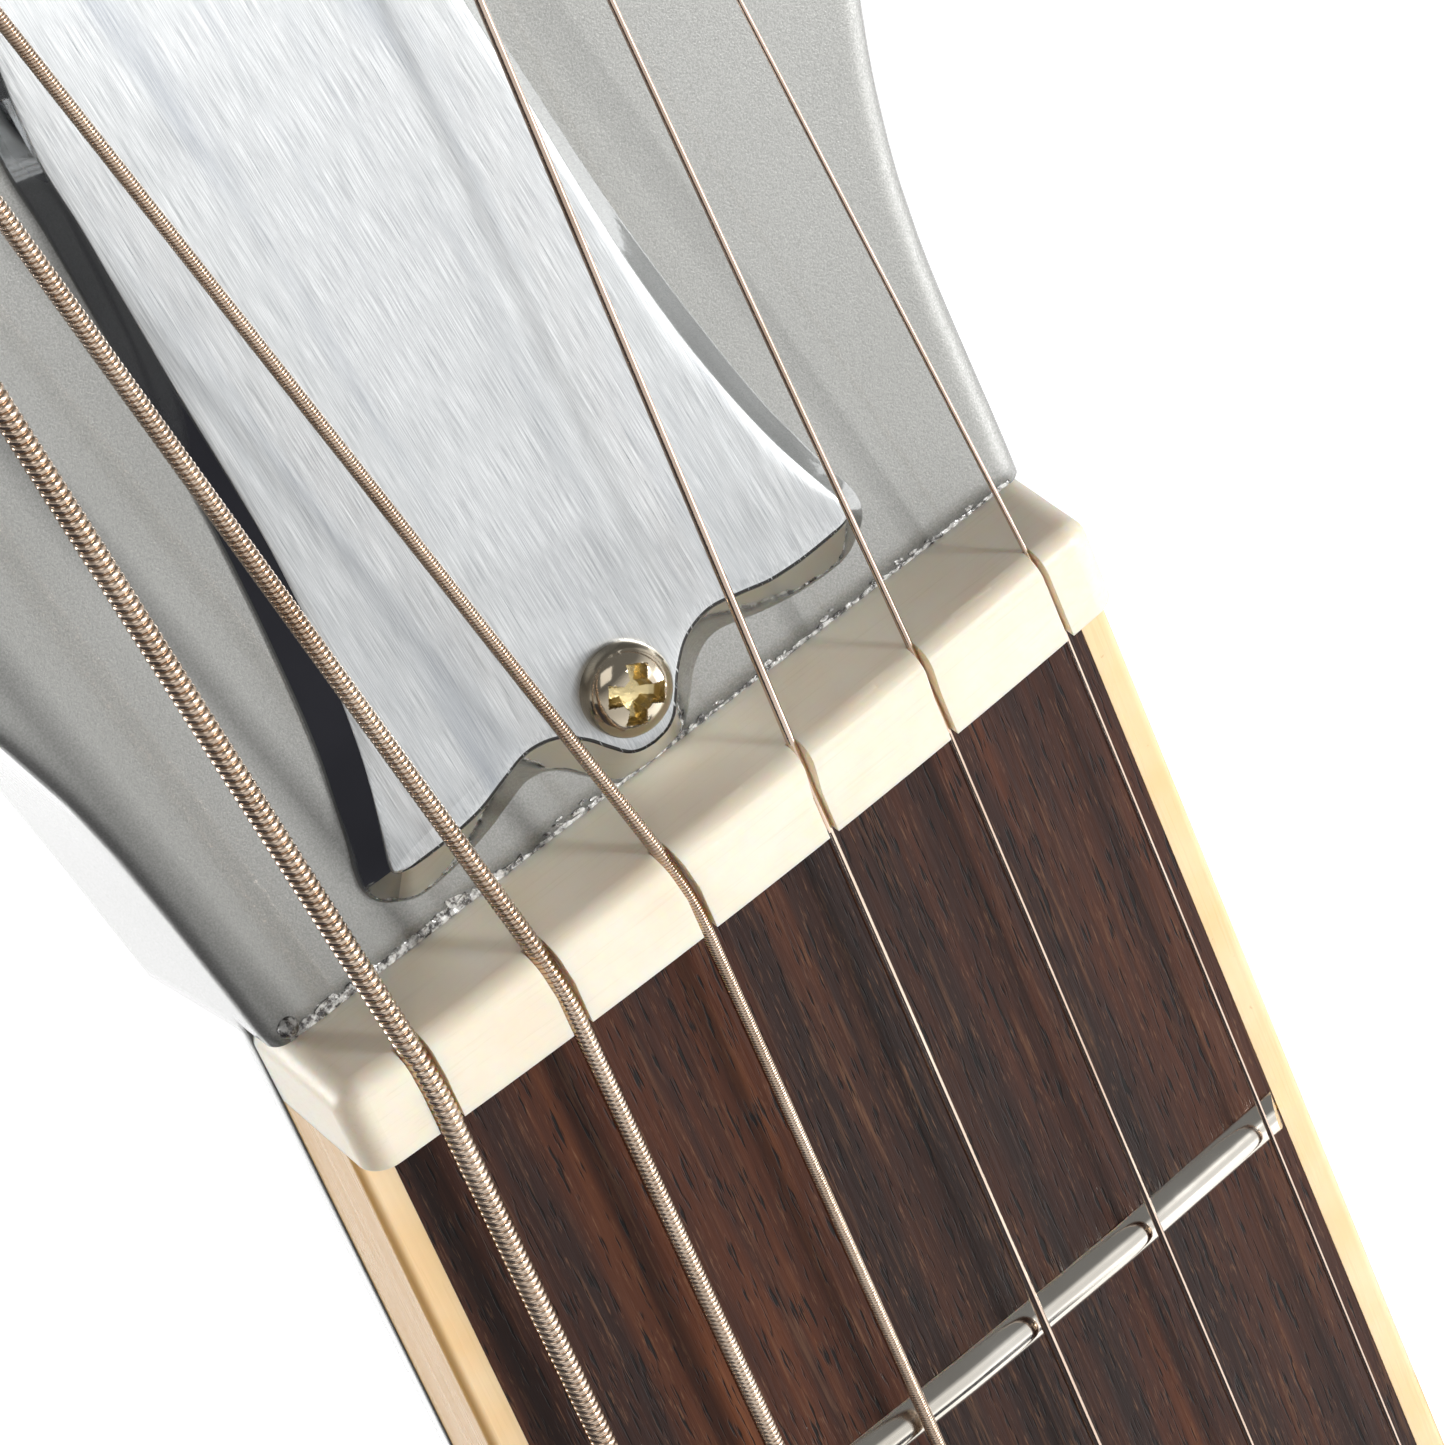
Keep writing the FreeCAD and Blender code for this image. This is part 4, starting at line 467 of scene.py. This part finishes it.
def screw_heads():
    # rings close together over the recess, and wider apart outside it
    radii = np.concatenate([np.linspace(0, screw_fine_reach, 42),
                            np.linspace(screw_fine_reach + 0.04, screw_head_radius, 14)])
    turns = np.linspace(0, 2 * math.pi, 145)[:-1]
    r, a = np.meshgrid(radii, turns, indexing="ij")
    x, y = r * np.cos(a), r * np.sin(a)
    dome_share = np.clip(r / screw_head_radius, 0, 1)
    z = screw_rim + (screw_head_height - screw_rim) * np.sqrt(1 - dome_share ** screw_dome_power)
    share = recess_share(x, y)
    z = z - share * recess_depth * (1 - 0.3 * np.clip(r / recess_reach, 0, 1) ** 2)
    rings = [np.stack([x, y, z], 2).reshape(-1, 3)]
    for rim_height in (screw_foot_rim, 0.0):
        rings.append(np.stack([x[-1], y[-1], np.full(len(turns), rim_height)], 1))
    points = np.concatenate(rings)
    count = len(turns)
    rows = len(radii) + 2
    faces = [(i * count + j, (i + 1) * count + j, (i + 1) * count + (j + 1) % count,
              i * count + (j + 1) % count) for i in range(rows - 1) for j in range(count)]
    faces.append([(rows - 1) * count + j for j in reversed(range(count))])
    plated = metal("screw_nickel", "#CFC4B0", "#A29682", 0.12, 0.3 * mm)
    worn = metal("worn_recess", "#CDBD93", "#9F9066", 0.24, 0.14 * mm, (1, 1, 3), 0.02 * mm)
    in_recess = share.reshape(-1) > recess_worn_from
    for k, (along, turned) in enumerate(screw_places):
        x0, y0 = cover_shift - along * math.sin(cover_turn), along * math.cos(cover_turn)
        place = headstock @ Matrix.Translation(Vector((x0, y0, cover_thick)) * mm)
        place = place @ Matrix.Rotation(math.radians(turned), 4, "Z")
        piece = new_piece(f"cover_screw_{k + 1}", points * mm, faces, [plated, worn], place, 40)
        for polygon in piece.data.polygons:
            corners = [v for v in polygon.vertices if v < len(in_recess)]
            polygon.material_index = int(bool(corners) and all(in_recess[v] for v in corners))
        if k == 0:
            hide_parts("cover_screws")


screw_heads()


# ---------------------------------------------------------------- lacquer line
# Where the lacquer was cut back to fit the nut it broke away, and left a ragged glassy bead and
# small loose flakes along the joint, from one side of the headstock to the other.

lacquer_line_half = 20.6
# the bead: mean width and height, how far each wanders at a step, the least of each
bead_steps = 420
bead_size = (0.4, 0.1)
bead_wander = (0.1, 0.04)
bead_least = (0.07, 0.015)
bead_pull = 0.3
bead_heavy_to = -9.0
# its section from the joint outwards, in shares of its width and height, over a sunk foot
bead_section = ((0.0, 0.8), (0.45, 1.0), (0.85, 0.55))
bead_foot = 0.03
joint_gap = 0.01
# the flakes: how many, shortest and longest half length, and the longest at the bass end
flake_count = 90
flake_lengths = (0.12, 0.35, 0.7)
flake_bass_to = -8.0
flake_spread = 0.22
# the bubble: its middle across and along, half width, half length and height
bubble = (-20.35, 0.62, 0.55, 0.5, 0.42)
bubble_rings = 7
bubble_around = 14
# how far the flakes and the bubble are sunk into the lacquer below them
sunk = 0.02


def broken_lacquer_painted_glints():
    material, tree, shader = new_finish("broken_lacquer_painted_glints", Coat_Weight=1.0, Coat_Roughness=0.03)
    specks = grain(tree, position(tree), 0.45 * mm, 3.0, 0.7)
    # the colour runs in specks from near black to near white; the pale specks are painted highlights of the
    # glassy chips
    tone = ramp(tree, specks, (0.36, "#1B1818"), (0.44, "#5F5C5A"), (0.54, "#C9C8C4"), (0.7, "#F4F3F0"))
    tree.links.new(tone, shader.inputs["Base Color"])
    tree.links.new(ramp(tree, specks, (0.3, 0.3), (0.7, 0.1)), shader.inputs["Roughness"])
    lumps = grain(tree, position(tree), 0.2 * mm, 3.0)
    tree.links.new(relief(tree, lumps, 0.06 * mm), shader.inputs["Normal"])
    return material


def ragged_bead(dice, points, faces):
    """A bead along the joint that wanders in size, half as heavy away from the bass end."""
    width, height = 0.3, 0.1
    for k in range(bead_steps + 1):
        x = lacquer_line_half * (2 * k / bead_steps - 1)
        weight = 1.0 if x < bead_heavy_to else 0.5
        width += (bead_pull * (bead_size[0] * weight - width)
                  + dice.uniform(-bead_wander[0], bead_wander[0]) * weight)
        height += (bead_pull * (bead_size[1] * weight - height)
                   + dice.uniform(-bead_wander[1], bead_wander[1]) * weight)
        wide, tall = max(width, bead_least[0]), max(height, bead_least[1])
        points.append((x, joint_gap, -bead_foot))
        points += [(x, joint_gap + wide * out, tall * up) for out, up in bead_section]
        points.append((x, joint_gap + wide, -bead_foot))
    sides = len(bead_section) + 2
    for k in range(bead_steps):
        faces += [(sides * k + j, sides * k + (j + 1) % sides, sides * (k + 1) + (j + 1) % sides,
                   sides * (k + 1) + j) for j in range(sides)]
    faces += [tuple(reversed(range(sides))), tuple(sides * bead_steps + j for j in range(sides))]


def loose_flakes(dice, points, faces):
    """Thin chips scattered behind the bead, most of them and the longest at the bass end."""
    shortest, longest, longest_bass = flake_lengths
    for _ in range(flake_count):
        x0 = lacquer_line_half * dice.triangular(-1, 1, -0.9) * 0.97
        y0 = 0.12 + abs(dice.gauss(0, flake_spread))
        long = dice.uniform(shortest, longest_bass if x0 < flake_bass_to else longest)
        short = long * dice.uniform(0.25, 0.5)
        tall, tilt = dice.uniform(0.02, 0.14), dice.uniform(-0.35, 0.35)
        sides = dice.randint(5, 8)
        base = len(points)
        rim = []
        for j in range(sides):
            angle = 2 * math.pi * j / sides + dice.uniform(-0.25, 0.25)
            reach = dice.uniform(0.7, 1.0)
            u, v = long * reach * math.cos(angle), short * reach * math.sin(angle)
            x, y = x0 + u * math.cos(tilt) - v * math.sin(tilt), y0 + u * math.sin(tilt) + v * math.cos(tilt)
            rim.append((x, max(y, 2 * joint_gap)))
        points += [(x, y, -sunk) for x, y in rim] + [(x, y, tall * dice.uniform(0.4, 1.0)) for x, y in rim]
        faces += [(base + j, base + (j + 1) % sides, base + sides + (j + 1) % sides, base + sides + j)
                  for j in range(sides)]
        faces += [tuple(base + j for j in reversed(range(sides))),
                  tuple(base + sides + j for j in range(sides))]


def end_bubble(points, faces):
    """The bubble where the line runs out, at the bass end."""
    x0, y0, wide, long, tall = bubble
    around = bubble_around
    base = len(points)
    for i in range(bubble_rings):
        for j in range(around):
            fall, turn = math.pi / 2 * i / (bubble_rings - 1), 2 * math.pi * j / around
            points.append((x0 + wide * math.sin(fall) * math.cos(turn),
                           y0 + long * math.sin(fall) * math.sin(turn), tall * math.cos(fall) - sunk))
    faces += [(base + around * i + j, base + around * (i + 1) + j,
               base + around * (i + 1) + (j + 1) % around, base + around * i + (j + 1) % around)
              for i in range(bubble_rings - 1) for j in range(around)]


def lacquer_line():
    dice = random.Random(17)
    points, faces = [], []
    ragged_bead(dice, points, faces)
    loose_flakes(dice, points, faces)
    end_bubble(points, faces)
    new_piece("lacquer_line", np.array(points) * mm, faces, [broken_lacquer_painted_glints()], headstock, 30)


lacquer_line()


# ---------------------------------------------------------------- strings
# The three low strings are steel wire wrapped with nickel-plated wire, turn against turn; the
# three high ones are plain drawn steel. Each runs from its ball in the tailpiece to its post.

# thickness of the wrap's wire, and the points round one turn of it
wrap_wire = {"low_e": 0.418, "a": 0.296, "d": 0.168}
wrap_rings = {"low_e": 20, "a": 16, "d": 14}
# the half round of one turn, from edge to edge
wrap_profile = (-1.0, -0.9, -0.62, -0.22, 0.22, 0.62, 0.9)
# the wrap is cut as a thread above this height, and is left smooth below it
wrap_from = -48.0
smooth_tube_around = 16
corner_ease = (-0.8, -0.4, 0.0, 0.4, 0.8)
# rings of the CAD string lie further apart than this
ring_gap = 0.35


def string_line(name):
    """The middle of each ring of the CAD string, from its ball to its post, in millimetres."""
    points = np.array([v.co for v in nodes["string_" + name].data.vertices]) / mm
    points = points[np.argsort(points[:, 2])]
    groups = np.split(points, np.where(np.diff(points[:, 2]) > ring_gap)[0] + 1)
    return np.array([np.unique(np.round(group, 3), axis=0).mean(0) for group in groups])


def string_radius(name):
    """The radius of the CAD string's lowest ring, in millimetres."""
    group = nodes["string_" + name].data.vertices
    low = min(v.co.z for v in group)
    ring = np.array([v.co for v in group if v.co.z < low + 1e-5]) / mm
    return float(np.linalg.norm(ring - ring.mean(0), axis=1).max())


def reach_along(line):
    """The distance along a line of points to each of them."""
    return np.concatenate([[0], np.cumsum(np.linalg.norm(np.diff(line, axis=0), axis=1))])


def along_line(line, distances):
    """Points at distances along a line of points, its corners eased."""
    reach = reach_along(line)
    eased = 0
    for shift in corner_ease:
        at = [np.interp(distances + shift, reach, line[:, k]) for k in range(3)]
        eased = eased + np.stack(at, 1) / len(corner_ease)
    return eased


def across_line(ahead):
    """Two directions square to each direction of a line, and to each other."""
    ahead = ahead / np.linalg.norm(ahead, axis=1)[:, None]
    side = np.cross(ahead, (0.0, 1.0, 0.0))
    side /= np.linalg.norm(side, axis=1)[:, None]
    return side, np.cross(side, ahead)


def smooth_tube(line, at, radius):
    """Points and faces of a closed tube with a ring at each distance along a line."""
    around = smooth_tube_around
    middle = np.stack([np.interp(at, reach_along(line), line[:, k]) for k in range(3)], 1)
    side, up = across_line(np.gradient(middle, axis=0))
    angle = (np.arange(around) / around * 2 * math.pi)[None, :, None]
    points = middle[:, None] + radius * (side[:, None] * np.cos(angle) + up[:, None] * np.sin(angle))
    faces = [(i * around + j, i * around + (j + 1) % around, (i + 1) * around + (j + 1) % around,
              (i + 1) * around + j) for i in range(len(at) - 1) for j in range(around)]
    faces.append(tuple(reversed(range(around))))
    faces.append(tuple((len(at) - 1) * around + j for j in range(around)))
    return points.reshape(-1, 3), faces


def thread_faces(rows, around, lead):
    """Quads of a tube whose rings close one lead further along, as a screw thread does."""
    i, j = np.meshgrid(np.arange(rows - 1), np.arange(around - 1), indexing="ij")
    a = i * around + j
    faces = np.stack([a, a + 1, a + around + 1, a + around], 2).reshape(-1, 4)
    i = np.arange(rows - 1 - lead)
    last = i * around + around - 1
    first = (i + lead) * around
    seam = np.stack([last, first, first + around, last + around], 1)
    return np.concatenate([faces, seam])


def wound_string(name, material):
    line = string_line(name)
    reach = reach_along(line)
    radius = string_radius(name)
    wire = wrap_wire[name]
    around = wrap_rings[name]
    start = float(np.interp(wrap_from, line[:, 2], reach))
    turns = int((reach[-1] - start) / wire) - 1
    profile = np.array(wrap_profile)
    ring_at = (start + wire * (np.arange(turns)[:, None] + (profile[None] + 1) / 2)).reshape(-1)
    bulge = np.tile(np.sqrt(np.maximum(1 - profile ** 2, 0)), turns)
    angle = np.arange(around) / around * 2 * math.pi
    at = (ring_at[:, None] + wire * angle[None] / (2 * math.pi)).reshape(-1)
    side, up = across_line(along_line(line, at + 0.1) - along_line(line, at - 0.1))
    r = (radius - wire / 2 + wire / 2 * bulge)[:, None]
    out, over = ((r * wave(angle)[None]).reshape(-1)[:, None] for wave in (np.cos, np.sin))
    points = along_line(line, at) + side * out + up * over
    faces = thread_faces(len(ring_at), around, len(profile))
    # below the wrap, down to the ball, one smooth tube of its mean thickness, with two more rings
    # on its straight run
    smooth_at = np.concatenate([reach[line[:, 2] < wrap_from], [start + wire]])
    smooth_at = np.unique(np.concatenate([smooth_at, [smooth_at[0] + 14.0, reach[-1] * 0.1]]))
    tube_points, tube_faces = smooth_tube(line, smooth_at, radius - 0.1 * wire)
    faces = [tuple(f) for f in faces] + [tuple(v + len(points) for v in f) for f in tube_faces]
    points = np.concatenate([points, tube_points])
    piece = new_piece("wound_string_" + name, points * mm, faces, [material], smooth=60)
    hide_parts("string_" + name)


wrap = metal("nickel_wrap", "#DAC8B6", "#B9A28D", 0.22, 0.12 * mm, marks=0.003 * mm)
for name in wrap_wire:
    wound_string(name, wrap)
give_finish(["string_g", "string_b", "string_high_e"],
            metal("plain_steel", "#D6C2B2", "#B59E8C", 0.08, 0.06 * mm, (1, 1, 60), 0.004 * mm))


# ---------------------------------------------------------------- tuners
# Six die-cast machine heads: chromed posts and housings, bushings pressed through the headstock
# and kidney-shaped buttons on the worm shafts, each housing held by two small screws.

string_names = ("low_e", "a", "d", "g", "b", "high_e")
chrome = metal("chrome", "#E3E4E5", "#CBCCCE", 0.07, 0.5 * mm, marks=0.002 * mm)
give_finish(["tuner_post_" + name for name in string_names] + ["tuner_bushings"], chrome)
give_finish(["tuner_housing_" + name for name in string_names],
            metal("cast_housing", "#D9DADB", "#BDBEC0", 0.14, 0.8 * mm, marks=0.01 * mm))
give_finish(["tuner_button_" + name for name in string_names], chrome)
give_finish(["tuner_screws"], metal("small_screws", "#C9C2B4", "#A59C8C", 0.2, 0.2 * mm, marks=0.006 * mm))


# ---------------------------------------------------------------- neck plate
# A chromed steel plate let down on the body's back, under the four long screws that hold the
# neck in its pocket.

give_finish(["neck_plate", "neck_screws"], chrome)


# ---------------------------------------------------------------- pickups
# Two humbucking pickups under nickel-plated covers, each with six slotted pole screws, hung in
# rings of moulded black plastic by small screws.

nickel = metal("nickel_cover", "#D8D2C6", "#BDB5A6", 0.13, 0.4 * mm, (30, 1, 1), 0.004 * mm)
give_finish(["neck_pickup", "bridge_pickup"], nickel)
give_finish(["panel_screws", "saddle_screws"], metal("panel_nickel", "#CFC8BA", "#ABA392", 0.18, 0.2 * mm))


def black_plastic():
    material, tree, shader = new_finish("black_plastic", Specular_IOR_Level=0.5)
    tree.links.new(ramp(tree, grain(tree, position(tree), 6 * mm, 3.0), (0.3, "#141414"), (0.7, "#202021")),
                   shader.inputs["Base Color"])
    texture = grain(tree, position(tree), 0.35 * mm, 3.0, 0.6)
    tree.links.new(ramp(tree, texture, (0.3, 0.22), (0.7, 0.42)), shader.inputs["Roughness"])
    tree.links.new(relief(tree, texture, 0.02 * mm, strength=0.5), shader.inputs["Normal"])
    return material


moulded = black_plastic()
give_finish(["neck_pickup_ring", "bridge_pickup_ring"], moulded)


# ---------------------------------------------------------------- bridge and tailpiece
# A cast bridge on two posts with thumbwheels, its six plated brass saddles on slotted screws,
# and a stop tailpiece on two studs. The strings' brass balls seat in its rear holes.

give_finish(["bridge_base", "bridge_posts", "tailpiece", "tailpiece_studs"], chrome)
give_finish(["bridge_saddles"],
            metal("saddle_plate", "#D8D0C0", "#B9AE98", 0.2, 0.12 * mm, (8, 1, 1), 0.01 * mm))


# ---------------------------------------------------------------- controls
# Black knobs on the volume and tone pots, a three-way switch with a chromed lever, the output
# jack in the treble edge, two strap buttons, and the plate that closes the wiring's cavity.

give_finish(["volume_knob", "tone_knob", "control_cover"], moulded)
give_finish(["control_pots", "selector_switch"],
            metal("pressed_steel", "#B4B4B0", "#94948F", 0.32, 0.5 * mm, marks=0.01 * mm))
give_finish(["selector_lever", "output_jack", "strap_buttons"], chrome)


# ---------------------------------------------------------------- studio
# A plain white floor at the guitar's foot and a white world round it. Four soft lamps: the key in
# front on the treble side, one low beside it, a wide one above and one behind the bass side.
# Two dark flags give the polished metal its dark edges.

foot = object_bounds()[0].z
floor_reach = 40.0
floor_seen = 0.87
world_seen = 1.0
world_light = 0.22


def seen_level(tree, bright, dim):
    """A strength that is bright to the camera and in reflections, and dim as a source of light."""
    path = tree.nodes.new("ShaderNodeLightPath")
    seen = path.outputs["Is Camera Ray"]
    for kind in ("Is Glossy Ray", "Is Transmission Ray"):
        either = tree.nodes.new("ShaderNodeMath")
        either.operation = "MAXIMUM"
        tree.links.new(seen, either.inputs[0])
        tree.links.new(path.outputs[kind], either.inputs[1])
        seen = either.outputs["Value"]
    level = tree.nodes.new("ShaderNodeMapRange")
    level.inputs["To Min"].default_value = dim
    level.inputs["To Max"].default_value = bright
    tree.links.new(seen, level.inputs["Value"])
    return level.outputs["Result"]


def white_floor():
    mesh = bpy.data.meshes.new("floor")
    corners = [(x * floor_reach, y * floor_reach, foot) for x, y in ((-1, -1), (1, -1), (1, 1), (-1, 1))]
    mesh.from_pydata(corners, [], [(0, 1, 2, 3)])
    floor = bpy.data.objects.new("floor", mesh)
    bpy.context.scene.collection.objects.link(floor)
    material, tree, shader = new_finish("floor_white", Roughness=0.9)
    shader.inputs["Base Color"].default_value = colour("#F4F4F4")
    shader.inputs["Emission Color"].default_value = (1, 1, 1, 1)
    tree.links.new(seen_level(tree, floor_seen, 0.0), shader.inputs["Emission Strength"])
    mesh.materials.append(material)


def stand_up(name, data, place, aim):
    """Stand a lamp or a card at its place, turned to face what it is aimed at."""
    stand = bpy.data.objects.new(name, data)
    bpy.context.scene.collection.objects.link(stand)
    stand.location = place
    stand.rotation_mode = "QUATERNION"
    stand.rotation_quaternion = (Vector(aim) - Vector(place)).to_track_quat("-Z", "Y")
    return stand


def lamp(name, place, aim, size, power):
    light = bpy.data.lights.new(name, "AREA")
    light.shape = "RECTANGLE"
    light.size, light.size_y = size
    light.energy = power
    stand_up(name, light, place, aim)


def flag(name, place, aim, size):
    """A dark card that shows in polished metal and casts no shadow."""
    half_wide, half_tall = size[0] / 2, size[1] / 2
    mesh = bpy.data.meshes.new(name)
    corners = [(x * half_wide, y * half_tall, 0) for x, y in ((-1, -1), (1, -1), (1, 1), (-1, 1))]
    mesh.from_pydata(corners, [], [(0, 1, 2, 3)])
    material, tree, shader = new_finish(name + "_black", Roughness=0.9, Specular_IOR_Level=0.1)
    shader.inputs["Base Color"].default_value = colour("#55545B")
    mesh.materials.append(material)
    card = stand_up(name, mesh, place, aim)
    card.visible_camera = False
    card.visible_shadow = False
    card.visible_diffuse = False


def studio_world():
    world = bpy.data.worlds.new("studio")
    bpy.context.scene.world = world
    world.use_nodes = True
    tree = world.node_tree
    backdrop = tree.nodes["Background"]
    # white round the sides, and grey overhead, which the headstock's gloss reflects
    direction = tree.nodes.new("ShaderNodeTexCoord")
    height = tree.nodes.new("ShaderNodeSeparateXYZ")
    tree.links.new(direction.outputs["Generated"], height.inputs["Vector"])
    tree.links.new(ramp(tree, height.outputs["Z"], (0.14, 1.0), (0.5, 0.22)), backdrop.inputs["Color"])
    tree.links.new(seen_level(tree, world_seen, world_light), backdrop.inputs["Strength"])


white_floor()
studio_world()
# name, place, aim, size and power
lamp("key", (0.95, -1.35, 0.25), (0, 0, 0.0), (0.26, 0.26), 23)
lamp("treble_edge", (1.18, -0.96, -0.48), (0, 0, 0.03), (0.5, 0.7), 8)
lamp("fill", (-0.5, -0.9, 1.5), (0, 0, -0.1), (1.0, 1.0), 4)
lamp("bass_edge", (-1.15, 0.85, 0.0), (0, 0, -0.1), (0.7, 0.7), 15)
flag("bass_flag", (-0.43, -0.06, -0.24), (0, 0, 0.02), (0.86, 0.86))
flag("foot_flag", (0.0, -0.52, foot + 0.03), (0, 0, 0.0), (0.55, 0.5))


# ---------------------------------------------------------------- camera
# Looks down past the bass side of the headstock, across the nut to the first fret.

camera_place = Vector((-0.08893, -0.24204, 0.24069))
camera_aim = Vector((0.00334, 0.00325, 0.00466))
camera_up = Vector((0.5923, 0.4318, 0.6802))
camera_lens = 200.4


def close_camera():
    lens = bpy.data.cameras.new("camera")
    lens.lens = camera_lens
    lens.sensor_width = 36.0
    lens.clip_start = 0.01
    camera = bpy.data.objects.new("camera", lens)
    bpy.context.scene.collection.objects.link(camera)
    back = (camera_place - camera_aim).normalized()
    right = camera_up.cross(back).normalized()
    up = back.cross(right)
    camera.matrix_world = Matrix.Translation(camera_place) @ Matrix((right, up, back)).transposed().to_4x4()
    bpy.context.scene.camera = camera


close_camera()
bpy.context.scene.view_settings.view_transform = "Standard"
